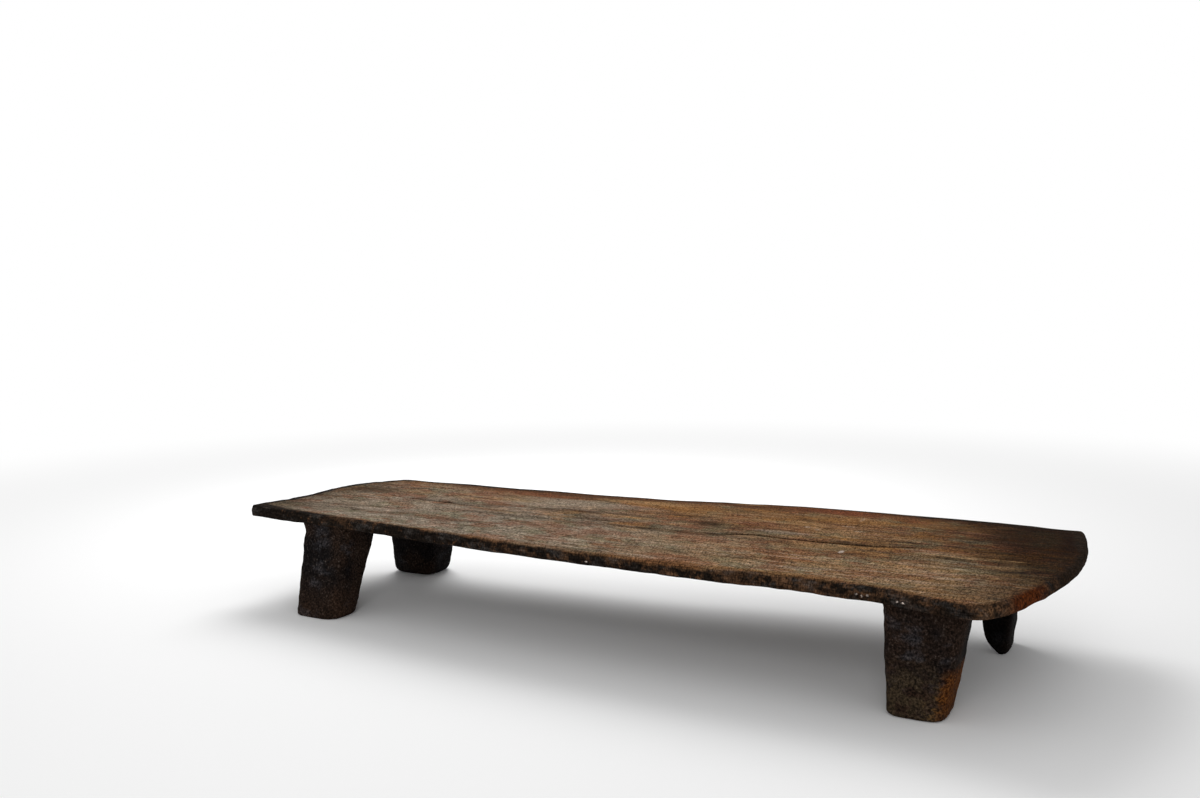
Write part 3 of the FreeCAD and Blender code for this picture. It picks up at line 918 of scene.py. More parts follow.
def stacked(tree, color, layers):
    """Lay colours over a first one, each by its own mask and strength."""
    for mask, strength, over in layers:
        color = mix(tree, product(tree, mask, strength), color, over)
    return color


# %% Noise in a material
def noise(tree, vector, stretch, detail=3.0, rough=0.6, offset=(0, 0, 0)):
    """Noise whose features are 1 / stretch metres long in each direction."""
    place = tree.nodes.new("ShaderNodeMapping")
    link(tree, vector, place.inputs["Vector"])
    place.inputs["Scale"].default_value = stretch
    place.inputs["Location"].default_value = offset
    node = tree.nodes.new("ShaderNodeTexNoise")
    node.inputs["Scale"].default_value = 1.0
    node.inputs["Detail"].default_value = detail
    node.inputs["Roughness"].default_value = rough
    link(tree, place.outputs[0], node.inputs["Vector"])
    return node.outputs["Fac"]


def even_noise(tree, vector, scale):
    """The colours of a noise that is the same size in each direction."""
    node = tree.nodes.new("ShaderNodeTexNoise")
    node.inputs["Scale"].default_value = scale
    link(tree, vector, node.inputs["Vector"])
    return node.outputs["Color"]


# %% Node groups
def new_group(name, inputs, outputs):
    """An empty node group with named sockets, and its two end nodes."""
    tree = bpy.data.node_groups.new(name, "ShaderNodeTree")
    for label, kind in inputs:
        tree.interface.new_socket(label, in_out="INPUT",
                                  socket_type="NodeSocket" + kind)
    for label, kind in outputs:
        tree.interface.new_socket(label, in_out="OUTPUT",
                                  socket_type="NodeSocket" + kind)
    return tree, tree.nodes.new("NodeGroupInput"), tree.nodes.new(
        "NodeGroupOutput")


def use_group(tree, group, **values):
    """Place a group in a material, its inputs set by name."""
    node = tree.nodes.new("ShaderNodeGroup")
    node.node_tree = group
    for label, value in values.items():
        link(tree, value, node.inputs[label])
    return node.outputs


# %% The long grain group
# How far the grain wanders sideways, and how wide its wandering is.
GRAIN_WANDER = (0.0, 0.03, 0.03)
GRAIN_WANDER_SCALE = 2.3
# The noise that starts a streak, and the noise at which it is full.
STREAK_FROM, STREAK_FULL = 0.462, 0.682


def long_grain():
    """Masks of dry grain: long streaks, fine fibres, specks and a height.

    Each is noise stretched along X. Streaks are some decimetres long and a
    few millimetres wide, and fibres are some centimetres long and under a
    millimetre wide. Specks are a few millimetres across and shorter still
    along the bed. Bands and mottle are the broad and the blotchy changes.
    """
    tree, start, end = new_group(
        "long_grain", (("Vector", "Vector"),),
        (("Streaks", "Float"), ("Fibres", "Float"), ("Specks", "Float"),
         ("Bands", "Float"), ("Mottle", "Float"), ("Height", "Float")))
    vector = start.outputs["Vector"]
    bent = vector_node(
        tree, "MULTIPLY_ADD", even_noise(tree, vector, GRAIN_WANDER_SCALE),
        GRAIN_WANDER, vector).outputs[0]
    streak = noise(tree, bent, (6.5, 62, 62), 6.0, 0.72)
    masks = {
        "Streaks": ramp(tree, streak, STREAK_FROM, STREAK_FULL),
        "Fibres": noise(tree, bent, (22, 240, 240), 5.0, 0.75, (3, 0, 0)),
        "Specks": noise(tree, vector, (300, 115, 140), 3.0, 0.85),
        "Mottle": noise(tree, bent, (44, 30, 40), 4.0, 0.75, (0, 0, 9)),
        "Bands": noise(tree, bent, (1.1, 17, 17), 3.0, 0.55, (7, 1, 0)),
    }
    height = math_node(tree, "ADD", product(tree, streak, 0.9),
                       product(tree, masks["Fibres"], 0.55))
    masks["Height"] = field(tree, height, (masks["Specks"], 0.45),
                            (masks["Mottle"], 0.8))
    for label, socket in masks.items():
        link(tree, socket, end.inputs[label])
    return tree


grain_group = long_grain()
print("group", grain_group.name, "has", len(grain_group.nodes), "nodes")


# %% The drying split group
# How far a split wavers to each side, and how often it does.
SPLIT_WAVER = 0.006
SPLIT_WAVER_SCALE = 26
THINNEST_SPLIT = 0.00005


def drying_split():
    """A mask that is 1 on a thin wavering line between two points.

    With t the share along the line, the distance is |p - a - t (b - a)|,
    and the line is 2 sqrt(t (1 - t)) times its full width at t.
    """
    tree, start, end = new_group(
        "drying_split", (("Vector", "Vector"), ("Start", "Vector"),
                         ("End", "Vector"), ("Width", "Float")),
        (("Mask", "Float"),))
    vector, begin = start.outputs["Vector"], start.outputs["Start"]
    flat = vector_node(tree, "MULTIPLY", vector, (1, 1, 0)).outputs[0]
    shift = vector_node(
        tree, "MULTIPLY_ADD", even_noise(tree, vector, SPLIT_WAVER_SCALE),
        (0, 2 * SPLIT_WAVER, 0), flat).outputs[0]
    place = vector_node(tree, "SUBTRACT", shift, (0, SPLIT_WAVER, 0))
    run = vector_node(tree, "SUBTRACT", start.outputs["End"],
                      begin).outputs[0]
    away = vector_node(tree, "SUBTRACT", place.outputs[0], begin).outputs[0]
    over = vector_node(tree, "DOT_PRODUCT", away, run)
    whole = vector_node(tree, "DOT_PRODUCT", run, run)
    share = math_node(tree, "DIVIDE", over.outputs["Value"],
                      whole.outputs["Value"], clamp=True)
    reached = vector_node(tree, "SCALE", run)
    link(tree, share, reached.inputs["Scale"])
    gap = vector_node(tree, "DISTANCE", away, reached.outputs[0])
    taper = product(tree, share, math_node(tree, "SUBTRACT", 1.0, share))
    taper = product(tree, math_node(tree, "SQRT", taper), 2.0)
    width = math_node(tree, "MAXIMUM",
                      product(tree, taper, start.outputs["Width"]),
                      THINNEST_SPLIT)
    widths_off = math_node(tree, "DIVIDE", gap.outputs["Value"], width)
    link(tree, ramp(tree, widths_off, 0.25, 1.0, 1.0, 0.0),
         end.inputs["Mask"])
    return tree


split_group = drying_split()
print("group", split_group.name, "has", len(split_group.nodes), "nodes")


# %% Starting a material, and soft patches on it
# How much noise roughens the border of a patch, and where the border lies.
PATCH_ROUGH = 0.9
PATCH_FULL, PATCH_GONE = 0.35, 1.1


def attribute(tree, name):
    """A number that the mesh keeps at each vertex."""
    node = tree.nodes.new("ShaderNodeAttribute")
    node.attribute_name = name
    return node.outputs["Fac"]


def new_material(name, roughness, specular):
    """A material with its Principled shader and Object coordinates."""
    material = bpy.data.materials.new(name)
    material.use_nodes = True
    tree = material.node_tree
    shader = tree.nodes["Principled BSDF"]
    shader.inputs["Roughness"].default_value = roughness
    shader.inputs["Specular IOR Level"].default_value = specular
    where = tree.nodes.new("ShaderNodeTexCoord").outputs["Object"]
    split = tree.nodes.new("ShaderNodeSeparateXYZ")
    link(tree, where, split.inputs[0])
    return material, tree, shader, where, split.outputs


def finish_with(tree, shader, color, height, strength, distance):
    """Give the shader its colour, and lift its surface by a height."""
    bump = tree.nodes.new("ShaderNodeBump")
    bump.inputs["Strength"].default_value = strength
    bump.inputs["Distance"].default_value = distance
    link(tree, height, bump.inputs["Height"])
    link(tree, bump.outputs[0], shader.inputs["Normal"])
    link(tree, color, shader.inputs["Base Color"])


def spot(tree, place, centre, reach, rough):
    """A soft round patch: 1 at its centre and 0 beyond its reach.

    place is two coordinates, and rough a noise that breaks up the border.
    The mask follows sqrt(dx^2 + dy^2), each measured in reaches.
    """
    dx, dy = (math_node(tree, "DIVIDE",
                        math_node(tree, "SUBTRACT", place[axis],
                                  centre[axis]), reach[axis])
              for axis in range(2))
    square = math_node(tree, "MULTIPLY_ADD", dx, dx, product(tree, dy, dy))
    far = math_node(tree, "ADD", math_node(tree, "SQRT", square),
                    math_node(tree, "MULTIPLY_ADD", rough, PATCH_ROUGH,
                              -PATCH_ROUGH / 2))
    return ramp(tree, far, PATCH_FULL, PATCH_GONE, 1.0, 0.0)


# %% [markdown]
# ### The wood of the board
#
# The top has gone grey-brown where it lay open to the light, and stays warm
# red-brown along the back. One end is dark from smoke and handling. We lay
# these as soft fields over the plan, and draw streaks, fibres and specks
# over them. The edge is nearly black, with small pale chips along it.

# %% Colours and marks of the board
GREY_BROWN = (0.200, 0.160, 0.118, 1)
MID_BROWN = (0.216, 0.126, 0.059, 1)
WARM_BROWN = (0.125, 0.054, 0.018, 1)
RED_BROWN = (0.150, 0.046, 0.020, 1)
OCHRE = (0.250, 0.118, 0.036, 1)
PALE_OCHRE = (0.345, 0.205, 0.095, 1)
MOSS_GREY = (0.110, 0.102, 0.058, 1)
SMOKE_TINT = (0.126, 0.104, 0.072, 1)
SMOKE = (0.009, 0.0055, 0.003, 1)
PALE_STREAK = (0.42, 0.35, 0.27, 1)
PALE_GREY = (0.245, 0.200, 0.150, 1)
DEEP_STREAK = (0.036, 0.018, 0.008, 1)
RUST = (0.080, 0.018, 0.003, 1)
BACK_BROWN = (0.062, 0.024, 0.010, 1)
EDGE_DARK = (0.010, 0.0072, 0.0055, 1)
EDGE_BROWN = (0.074, 0.038, 0.020, 1)
EDGE_ASH = (0.052, 0.047, 0.044, 1)
BLACK_BROWN = (0.006, 0.004, 0.003, 1)
CHIP_PALE = (0.60, 0.50, 0.44, 1)


# Short drying splits, drawn as painted shade: where each starts and ends, and its width.
END_SPLITS = (
    ((0.900, -0.114, 0), (0.960, -0.108, 0), 0.0050),
    ((0.930, -0.108, 0), (1.030, -0.080, 0), 0.0055),
    ((0.962, -0.130, 0), (1.036, -0.128, 0), 0.0040),
    ((0.620, 0.062, 0), (0.800, 0.070, 0), 0.0065),
    ((0.560, 0.050, 0), (0.700, 0.060, 0), 0.0050),
    ((-0.880, 0.150, 0), (-0.700, 0.162, 0), 0.0045),
    ((-0.600, 0.125, 0), (-0.380, 0.110, 0), 0.0045),
)
# Marks in the top: middle, reach, how strong each one is, and its colour.
# Most are pale scars and worn patches, and some are warm or brown ones.
TOP_PATCHES = (
    ((0.562, -0.084), (0.007, 0.017), 0.70, CHIP_PALE),
    ((0.505, 0.176), (0.022, 0.008), 0.30, PALE_STREAK),
    ((0.418, 0.130), (0.009, 0.008), 0.40, PALE_STREAK),
    ((0.448, 0.112), (0.008, 0.007), 0.40, PALE_STREAK),
    ((0.514, 0.268), (0.006, 0.030), 0.30, PALE_STREAK),
    ((0.545, 0.128), (0.016, 0.006), 0.35, PALE_STREAK),
    ((0.790, -0.030), (0.080, 0.008), 0.45, PALE_OCHRE),
    ((0.890, -0.018), (0.060, 0.006), 0.40, PALE_OCHRE),
    ((0.050, 0.235), (0.200, 0.060), 0.42, OCHRE),
    ((0.480, 0.240), (0.150, 0.050), 0.45, OCHRE),
    ((0.430, 0.335), (0.180, 0.040), 0.75, RED_BROWN),
    ((-0.390, 0.232), (0.160, 0.036), 0.55, RED_BROWN),
    ((-0.280, 0.110), (0.200, 0.045), 0.50, PALE_GREY),
    ((-0.330, 0.020), (0.160, 0.040), 0.40, PALE_GREY),
    ((0.380, 0.046), (0.090, 0.020), 0.40, PALE_GREY),
    ((0.190, 0.345), (0.060, 0.020), 0.50, PALE_OCHRE),
    ((-0.540, 0.250), (0.240, 0.034), 0.45, BACK_BROWN),
    ((0.270, 0.325), (0.200, 0.038), 0.45, BACK_BROWN),
    ((-0.080, 0.243), (0.170, 0.032), 0.38, PALE_OCHRE),
    ((-0.220, 0.165), (0.240, 0.050), 0.62, PALE_GREY),
    ((0.410, 0.165), (0.130, 0.030), 0.35, PALE_OCHRE),
    ((-0.690, -0.130), (0.090, 0.026), 0.40, PALE_STREAK),
    ((-0.560, -0.030), (0.200, 0.035), 0.35, PALE_GREY),
    ((0.500, -0.045), (0.110, 0.028), 0.40, PALE_OCHRE),
    ((0.900, -0.305), (0.090, 0.070), 0.58, EDGE_BROWN),
    ((0.780, -0.330), (0.130, 0.045), 0.30, WARM_BROWN),
)
# Knots and dark blots: middle, reach and how strong each one is.
DARK_BLOTS = (
    ((0.186, 0.062), (0.045, 0.040), 0.80),
    ((-0.569, 0.021), (0.012, 0.018), 0.90),
    ((0.940, -0.183), (0.030, 0.022), 0.50),
    ((0.951, -0.262), (0.012, 0.016), 0.80),
    ((0.090, 0.130), (0.090, 0.016), 0.60),
    ((-0.110, -0.010), (0.110, 0.018), 0.62),
    ((-0.870, 0.100), (0.150, 0.050), 0.66),
    ((0.200, 0.240), (0.100, 0.035), 0.35),
    ((0.770, 0.100), (0.090, 0.028), 0.30),
    ((-0.430, 0.033), (0.080, 0.008), 0.60),
)
# Pale chips low on the front of the rim: x and z, and how strong each is.
RIM_CHIPS = (
    ((0.666, 0.2485), 0.40), ((0.679, 0.2465), 0.45), ((0.690, 0.2490), 0.40),
    ((0.7505, 0.2475), 0.70), ((0.7620, 0.2460), 0.85),
    ((0.0550, 0.2450), 0.60),
)
RIM_CHIP_REACH = (0.0034, 0.0022)
print("%d splits, %d blots, %d patches and %d chips on the board"
      % (len(END_SPLITS), len(DARK_BLOTS), len(TOP_PATCHES), len(RIM_CHIPS)))


# %% The weathered face
def board_noises(tree, where):
    """The noises and the vertex number that all of the finish shares."""
    return SimpleNamespace(
        broad=noise(tree, where, (1.6, 3.2, 3.2), 3.0, 0.55, (2, 0, 0)),
        patch=noise(tree, where, (3.2, 11, 11), 4.0, 0.62, (0, 6, 0)),
        tint=noise(tree, where, (6, 14, 14), 4.0, 0.65, (8, 0, 0)),
        worn=noise(tree, where, (16, 34, 34), 4.0, 0.7, (0, 4, 0)),
        grain=use_group(tree, grain_group, Vector=where),
        rim=attribute(tree, "rim"))


def top_color(tree, where, place, wood):
    """The weathered face: grey to the front, warm behind, mottled."""
    x, y = place[0], place[1]
    grain, broad, patch = wood.grain, wood.broad, wood.patch
    moss = noise(tree, where, (9, 12, 12), 4.0, 0.65, (3, 9, 0))
    red = noise(tree, where, (10, 17, 17), 4.0, 0.68, (0, 6, 4))
    lens = noise(tree, where, (5, 36, 36), 4.0, 0.6, (2, 2, 8))
    drift = field(tree, y, (broad, 0.30))
    warm = product(tree, ramp(tree, drift, 0.06, 0.36),
                   ramp(tree, x, -0.85, -0.25, 0.45, 1.0))
    middle = ramp(tree, field(tree, x, (broad, 0.5)), 0.0, 0.75)
    pale = product(tree, ramp(tree, field(tree, drift, (broad, 0.35)),
                              0.55, -0.05, 0.35, 1.0), grain["Streaks"])
    tip = ramp(tree, field(tree, x, (patch, 0.30)), -0.60, -0.92)
    inner = ramp(tree, field(tree, y, (broad, 0.15)), -0.06, 0.12, 0.2, 1.0)
    ochre = product(tree, inner, ramp(tree, x, -0.50, -0.05, 0.20, 1.0),
                    ramp(tree, wood.tint, 0.50, 0.62))
    light = product(tree, ramp(tree, patch, 0.52, 0.66),
                    ramp(tree, y, 0.02, 0.12))
    lens = product(tree, ramp(tree, lens, 0.43, 0.33),
                   ramp(tree, field(tree, y, (broad, 0.1)), -0.04, 0.03))
    back_side = product(tree, ramp(tree, y, 0.14, 0.27),
                        ramp(tree, x, 0.1, -0.35, 0.25, 1.0))
    return stacked(tree, mix(tree, middle, GREY_BROWN, MID_BROWN), (
        (warm, 0.80, WARM_BROWN),
        (ramp(tree, moss, 0.46, 0.60), 0.60, MOSS_GREY),
        (ramp(tree, red, 0.46, 0.60), 0.58, RED_BROWN),
        (ochre, 0.80, OCHRE),
        (light, 0.50, PALE_OCHRE),
        (back_side, 0.62, WARM_BROWN),
        (ramp(tree, patch, 0.46, 0.28), 0.50, DEEP_STREAK),
        (ramp(tree, grain["Bands"], 0.47, 0.30), 0.62, DEEP_STREAK),
        (lens, 0.65, DEEP_STREAK),
        (pale, 0.38, PALE_STREAK),
        (ramp(tree, grain["Mottle"], 0.49, 0.30), 0.54, DEEP_STREAK),
        (tip, 0.75, DEEP_STREAK),
    ))


# %% Borders, smoke and marks of the top
def smoke_field(tree, place, wood, slope):
    """A field that grows to the wide end, and to the back by its slope."""
    return field(tree, place[0], (place[1], slope), (wood.tint, 0.30),
                 (wood.worn, 0.14), (wood.broad, 0.10))


def margin_field(tree, wood):
    """A field that grows over the rim, roughened so no line shows."""
    return field(tree, wood.rim, (wood.worn, 0.46), (wood.patch, 0.30))


def rust_patch(tree, place, wood):
    """The rust-red corner at the wide end, on the top and on the edge."""
    return spot(tree, place, (0.990, -0.285), (0.050, 0.105), wood.broad)


def marked_top(tree, where, place, wood):
    """The face with its borders, its smoked end and all its marks."""
    x, y = place[0], place[1]
    back = product(
        tree, ramp(tree, y, 0.02, 0.16), ramp(tree, x, -0.95, -0.55),
        ramp(tree, field(tree, wood.rim, (wood.tint, 1.1),
                         (wood.patch, 0.8)), -0.20, 0.55))
    border_mask = ramp(tree, margin_field(tree, wood), 0.12, 0.40)
    color = stacked(tree, top_color(tree, where, place, wood), (
        (back, 0.85, BACK_BROWN),
        (border_mask, 0.55, WARM_BROWN),
    ))
    smoked = mix(tree, 1.0, color, SMOKE_TINT, "MULTIPLY")
    layers = [
        (ramp(tree, smoke_field(tree, place, wood, 0.29), 1.00, 1.25), 0.97,
         smoked),
        (rust_patch(tree, place, wood), 0.30, RUST),
        # Painted shade: near black in the open check and in a band behind it.
        (attribute(tree, "check_shade"), 0.70, BLACK_BROWN),
    ]
    # Painted shade of the short splits, which the mesh does not cut.
    for begin, finish, width in END_SPLITS:
        line = use_group(tree, split_group, Vector=where, Start=begin,
                         End=finish, Width=width)["Mask"]
        layers.append((line, 0.75, BLACK_BROWN))
    for centre, reach, strength in DARK_BLOTS:
        layers.append((spot(tree, place, centre, reach, wood.tint),
                       strength, DEEP_STREAK))
    for centre, reach, strength, tone in TOP_PATCHES:
        layers.append((spot(tree, place, centre, reach, wood.worn),
                       strength, tone))
    return stacked(tree, color, layers)


# %% [markdown]
# ### The edge of the board
#
# The edge was never rubbed clean. It is nearly black, brown or ashen where
# the crust is thin, rust-red at one corner, and has small pale chips. The
# same noises that roughen the top say where the edge begins, so the two
# colours meet in a broken line.

# %% Where the edge is, and its colours
def shaded_low_rim(tree, place, wood):
    """The lower half of the edge over the wide front leg, darkest by painted shade."""
    return product(
        tree, ramp(tree, place[0], 0.68, 0.72),
        ramp(tree, place[0], 0.93, 0.85),
        ramp(tree, field(tree, place[2], (wood.worn, 0.012)), 0.2600,
             0.2540))


def edge_mask(tree, place, wood, low):
    """1 on the rim and the underside, and further in at the narrow end."""
    x, y = place[0], place[1]
    narrow = ramp(tree, x, -0.15, -0.95, -0.06, 0.26)
    far_back = ramp(tree, y, 0.10, 0.22, 0.0, 0.34)
    at_leg = ramp(tree, x, 0.58, 0.70, 0.0, 0.16)
    left_end = ramp(tree, x, -0.86, -1.02, 0.0, 0.26)
    light_run = spot(tree, place, (0.250, -0.330), (0.170, 0.120),
                     wood.broad)
    # The painted shade low on the rim pulls the dark edge colour in there.
    return ramp(tree, field(
        tree, margin_field(tree, wood), (narrow, 1.0), (far_back, 1.0),
        (at_leg, 1.0), (left_end, 1.0), (low, 0.5), (light_run, -0.14)),
        0.38, 0.66)


def edge_color(tree, where, place, wood, low):
    """Nearly black wood with brown and ash, rust, smoke and pale chips."""
    x, y, z = place
    bare = spot(tree, place, (0.940, -0.395), (0.050, 0.035), wood.tint)
    brown = ramp(tree, field(tree, wood.grain["Mottle"], (x, 0.07)),
                 0.48, 0.66)
    edge = stacked(tree, mix(tree, brown, EDGE_DARK, EDGE_BROWN), (
        (ramp(tree, wood.tint, 0.52, 0.66), 0.60, EDGE_BROWN),
        # Painted shade: the lower rim over the wide front leg is laid darker.
        (low, 0.75, EDGE_DARK),
        (ramp(tree, wood.worn, 0.50, 0.66), 0.45, EDGE_ASH),
        (bare, 0.15, MID_BROWN),
        (rust_patch(tree, place, wood), 0.92, RUST),
        (ramp(tree, smoke_field(tree, place, wood, 0.68), 1.04, 1.25), 0.85,
         SMOKE),
    ))
    front = ramp(tree, y, -0.10, -0.16)
    grit = ramp(tree, noise(tree, where, (330, 330, 330), 2.0, 0.6),
                0.40, 0.60, 0.1, 0.9)
    return stacked(tree, edge, [
        (product(tree, spot(tree, (x, z), centre, RIM_CHIP_REACH, grit),
                 front), strength, CHIP_PALE)
        for centre, strength in RIM_CHIPS])


# %% The whole board finish
def board_finish():
    """The weathered top, the dark rim and the raw underside."""
    material, tree, shader, where, place = new_material(
        "weathered_board", 0.90, 0.02)
    wood = board_noises(tree, where)
    # low is painted shade on the lower rim over the wide front leg.
    low = shaded_low_rim(tree, place, wood)
    color = mix(tree, edge_mask(tree, place, wood, low),
                marked_top(tree, where, place, wood),
                edge_color(tree, where, place, wood, low))
    # Fibres and specks lighten and darken everything a little.
    shade = product(tree,
                    ramp(tree, wood.grain["Fibres"], 0.30, 0.70, 0.40, 1.60),
                    ramp(tree, wood.grain["Specks"], 0.34, 0.66, 0.25, 1.80))
    color = mix(tree, 1.0, color, shade, "MULTIPLY")
    # Painted shade: the groove of the check is laid near black by its depth.
    color = stacked(tree, color, ((attribute(tree, "crack"), 0.97,
                                   BLACK_BROWN),))
    finish_with(tree, shader, color, wood.grain["Height"], 0.9, 0.0035)
    print("finish", material.name, "has", len(tree.nodes), "nodes")
    return material


board.data.materials.append(board_finish())

# %% [markdown]
# ### The wood of the legs
#
# The legs are nearly black with smoke and soil. The grain here is end-on
# and rough, so fine grey specks lie over the black, with a rust-brown
# bruise on the wide front foot where the dark crust has come away.

# %% Leg finish
LEG_BLACK = (0.0062, 0.0050, 0.0050, 1)
LEG_BROWN = (0.021, 0.012, 0.008, 1)
LEG_ASH = (0.034, 0.033, 0.037, 1)
LEG_EARTH = (0.042, 0.030, 0.017, 1)
LEG_SPECK = (0.080, 0.070, 0.062, 1)
LEG_DUST = (0.045, 0.024, 0.014, 1)
LEG_SHADE_BLACK = (0.0016, 0.0013, 0.0012, 1)
BARE_RUST = (0.078, 0.022, 0.004, 1)
BARE_OCHRE = (0.120, 0.062, 0.017, 1)


def bruised(tree, x, z, crust, broad, fine, color):
    """Earth, ochre spots and a patch of bare rust-brown wood on a foot."""
    earth = product(tree, ramp(tree, crust, 0.40, 0.58),
                    ramp(tree, z, 0.14, 0.06))
    side = field(tree, x, (z, 0.03), (broad, 0.06), (crust, 0.05))
    low = field(tree, z, (crust, 0.07), (broad, 0.06))
    bare = product(tree, ramp(tree, side, 0.876, 0.900),
                   ramp(tree, low, 0.180, 0.150))
    spots = product(tree, ramp(tree, x, 0.785, 0.805),
                    ramp(tree, z, 0.095, 0.07), ramp(tree, crust, 0.52, 0.60))
    flecks = product(tree, bare, ramp(tree, fine, 0.50, 0.62))
    return stacked(tree, color, (
        (earth, 0.70, LEG_EARTH),
        (spots, 0.35, BARE_OCHRE),
        (bare, 0.82, BARE_RUST),
        (flecks, 0.28, BARE_OCHRE),
    ))


def leg_finish(name, bruise=False, painted_shade=0.0, dust=1.0, foot=0.0):
    """A black-brown crust with ash and specks.

    dust scales the ash and the specks, and foot is the brown dust low down.
    The share of painted shade darkens the whole leg, most from 0.12 m up
    towards the board. bruise adds the bare wood.
    """
    material, tree, shader, where, place = new_material(name, 0.88, 0.03)
    x, z = place[0], place[2]
    broad = noise(tree, where, (9, 9, 7), 3.0, 0.55)
    fine = noise(tree, where, (210, 210, 190), 3.0, 0.8)
    crust = noise(tree, where, (36, 36, 52), 4.0, 0.7, (1, 2, 3))
    ash = noise(tree, where, (15, 15, 22), 4.0, 0.6, (4, 0, 7))
    speck = product(tree, ramp(tree, fine, 0.56, 0.72),
                    ramp(tree, crust, 0.34, 0.62, 0.30, 1.0))
    color = mix(tree, ramp(tree, broad, 0.42, 0.66), LEG_BLACK, LEG_BROWN)
    color = stacked(tree, color, (
        (ramp(tree, crust, 0.50, 0.66), 0.40, LEG_BROWN),
        (ramp(tree, ash, 0.52, 0.70), 0.55 * dust, LEG_ASH),
        (speck, 0.45 * dust, LEG_SPECK),
        (ramp(tree, z, 0.13, 0.02), foot, LEG_DUST),
    ))
    if bruise:
        color = bruised(tree, x, z, crust, broad, fine, color)
    # Painted shade under the board: the leg is darkened, most from 0.12 m up.
    if painted_shade:
        color = mix(tree, ramp(tree, z, 0.0, 0.12, 0.6 * painted_shade, painted_shade), color,
                    LEG_SHADE_BLACK)
    shade = ramp(tree, fine, 0.34, 0.66, 0.20, 1.90)
    color = mix(tree, 1.0, color, shade, "MULTIPLY")
    height = math_node(tree, "MULTIPLY_ADD", fine, 0.5, crust)
    finish_with(tree, shader, color, height, 0.8, 0.0030)
    print("finish", material.name, "has", len(tree.nodes), "nodes")
    return material


leg_finishes = {
    "leg_front_left": leg_finish("smoked_leg", dust=1.25, foot=0.32),
    "leg_front_right": leg_finish("smoked_leg_bruised", bruise=True,
                                  foot=0.40),
    # The back legs carry painted shade, deepest on the one at the wide end.
    "leg_back_left": leg_finish("smoked_leg_back", painted_shade=0.45),
    "leg_back_right": leg_finish("smoked_leg_shaded", painted_shade=0.95),
}
for leg_name, leg in legs.items():
    leg.data.materials.append(leg_finishes[leg_name])

# %% [markdown]
# ## The floor, the light and the camera
#
# The photograph shows the bed cut out on white. A pale floor keeps a soft
# shadow under the bed and fades to plain white further off, so no horizon
# shows. Two large soft lamps and an even sky light a white card to just
# under white, so each colour shows about as it was written.

# %% Floor
FLOOR_SIZE = 60.0
FLOOR_PALE = (0.94, 0.94, 0.94, 1)
# The floor turns to plain white between these distances from the bed.
WHITE_FROM, WHITE_AT = 1.6, 4.5


def plainly_seen(tree, path):
    """1 where the camera or a reflection looks, 0 for all other light."""
    return math_node(tree, "MAXIMUM", path.outputs["Is Camera Ray"],
                     math_node(tree, "MAXIMUM",
                               path.outputs["Is Glossy Ray"],
                               path.outputs["Is Transmission Ray"]))


def mix_shaders(tree, factor, first, second):
    """Mix two shaders by a factor."""
    node = tree.nodes.new("ShaderNodeMixShader")
    for socket, source in zip(node.inputs, (factor, first, second)):
        link(tree, source, socket)
    return node.outputs[0]


def make_floor():
    """A plane under the feet, clear from below and white far from the bed."""
    half = FLOOR_SIZE / 2
    corners = np.array([[-half, -half, 0], [half, -half, 0],
                        [half, half, 0], [-half, half, 0]])
    floor = make_piece("pale_floor", corners, np.array([[0, 1, 2, 3]]))
    material, tree, shader, where, place = new_material("pale_floor", 0.9, 0)
    shader.inputs["Base Color"].default_value = FLOOR_PALE
    path = tree.nodes.new("ShaderNodeLightPath")
    far = ramp(tree, vector_node(tree, "LENGTH", where).outputs["Value"],
               WHITE_FROM, WHITE_AT)
    white = tree.nodes.new("ShaderNodeEmission").outputs[0]
    above = mix_shaders(tree, product(tree, far, plainly_seen(tree, path)),
                        shader.outputs[0], white)
    clear = tree.nodes.new("ShaderNodeBsdfTransparent").outputs[0]
    back = tree.nodes.new("ShaderNodeNewGeometry").outputs["Backfacing"]
    link(tree, mix_shaders(
        tree, product(tree, back, path.outputs["Is Camera Ray"]), above,
        clear), tree.nodes["Material Output"].inputs["Surface"])
    floor.data.materials.append(material)
    return floor


make_floor()

# %% Sky and lamps
SKY_LEVEL = 0.60
LAMP_SIZE = 1.8
LAMP_TARGET = (0, 0, 0.2)
# name: place and power
LAMPS = {"over_the_bed": ((-1.3, 1.6, 2.5), 62),
         "from_the_front": ((1.2, -3.6, 2.2), 26)}


def make_sky():
    """An even sky, plain white where the camera or a reflection sees it."""
    world = bpy.data.worlds.new("plain_studio")
    world.use_nodes = True
    bpy.context.scene.world = world
    tree = world.node_tree
    seen = plainly_seen(tree, tree.nodes.new("ShaderNodeLightPath"))
    sky = tree.nodes["Background"]
    sky.inputs["Color"].default_value = (1, 1, 1, 1)
    link(tree, ramp(tree, seen, 0.0, 1.0, SKY_LEVEL, 1.0),
         sky.inputs["Strength"])


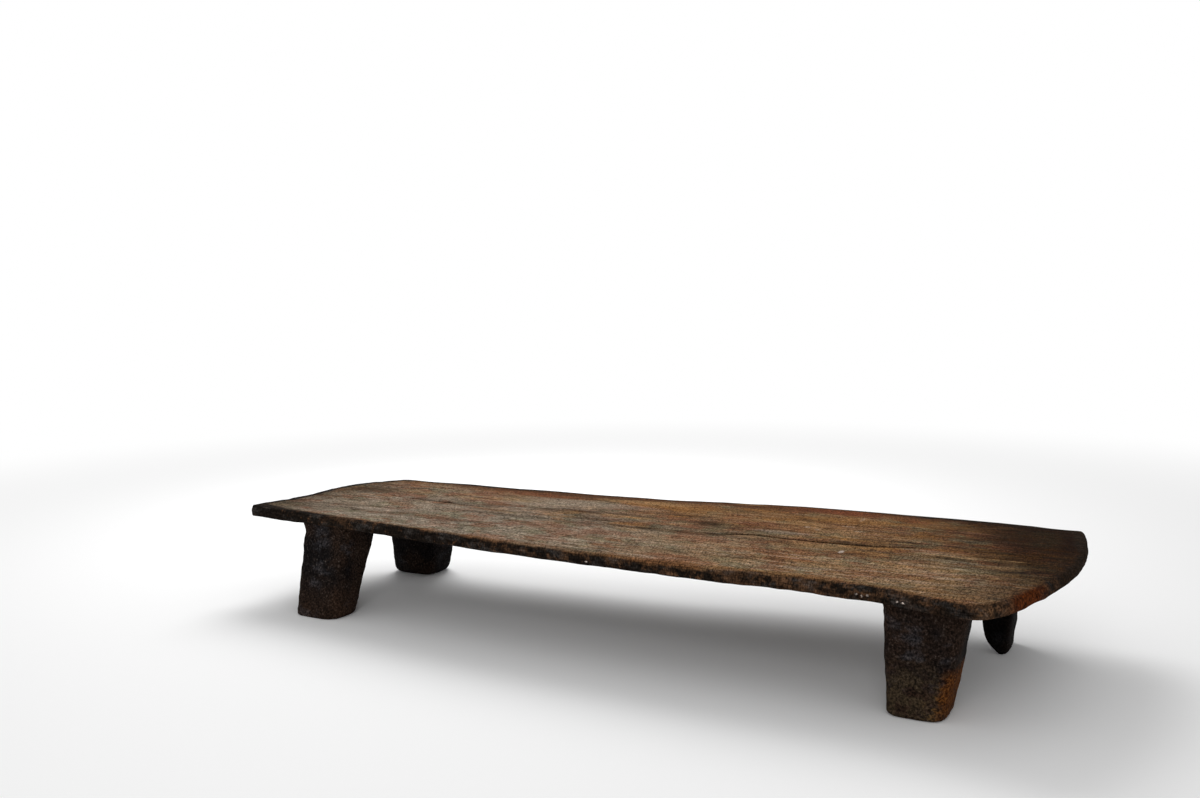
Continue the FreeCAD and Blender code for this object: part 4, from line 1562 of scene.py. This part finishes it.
def soft_lamp(name, place, power):
    """A square area lamp that looks at the bed."""
    data = bpy.data.lights.new(name, "AREA")
    data.shape, data.size, data.energy = "SQUARE", LAMP_SIZE, power
    lamp = bpy.data.objects.new(name, data)
    back = np.array(place, float) - np.array(LAMP_TARGET, float)
    back /= np.linalg.norm(back)
    side = np.cross((0, 0, 1), back)
    side /= np.linalg.norm(side)
    turn = Matrix(np.column_stack([side, np.cross(back, side), back]))
    lamp.matrix_world = Matrix.Translation(place) @ turn.to_4x4()
    bpy.context.scene.collection.objects.link(lamp)
    print("lamp", name, "of", power, "watts")


make_sky()
for lamp_name, (lamp_place, lamp_power) in LAMPS.items():
    soft_lamp(lamp_name, lamp_place, lamp_power)
bpy.context.scene.view_settings.view_transform = "Standard"

# %% Camera
# It stands in front of the wide end, about 0.86 m up, looking slightly down.
LENS = 34.376
SENSOR = 36.0
CAMERA_PLACE = (1.2549, -2.5180, 0.8616)
YAW, PITCH, ROLL = 0.48727, 0.10136, -0.010526


def make_camera():
    """A camera turned by yaw to the left, pitch down and a slight roll.

    The level axes are turned by the yaw, then tipped down by the pitch,
    then rolled round the line of sight.
    """
    ahead = np.array([-math.sin(YAW), math.cos(YAW), 0])
    right = np.array([math.cos(YAW), math.sin(YAW), 0])
    up = np.array([0, 0, 1.0])
    sight = math.cos(PITCH) * ahead - math.sin(PITCH) * up
    above = math.cos(PITCH) * up + math.sin(PITCH) * ahead
    side = math.cos(ROLL) * right + math.sin(ROLL) * above
    over = -math.sin(ROLL) * right + math.cos(ROLL) * above
    data = bpy.data.cameras.new("view_of_the_bed")
    data.sensor_fit = "HORIZONTAL"
    data.sensor_width, data.lens = SENSOR, LENS
    camera = bpy.data.objects.new("view_of_the_bed", data)
    turn = Matrix(np.column_stack([side, over, -sight]))
    camera.matrix_world = Matrix.Translation(CAMERA_PLACE) @ turn.to_4x4()
    bpy.context.scene.collection.objects.link(camera)
    bpy.context.scene.camera = camera


make_camera()
print("the camera stands %.2f m over the floor" % CAMERA_PLACE[2])

# %% [markdown]
# ## The last step
#
# The view layer is brought up to date. The visual model has to keep the size of the CAD
# model.

# %% Bring the scene up to date
bpy.context.view_layer.update()
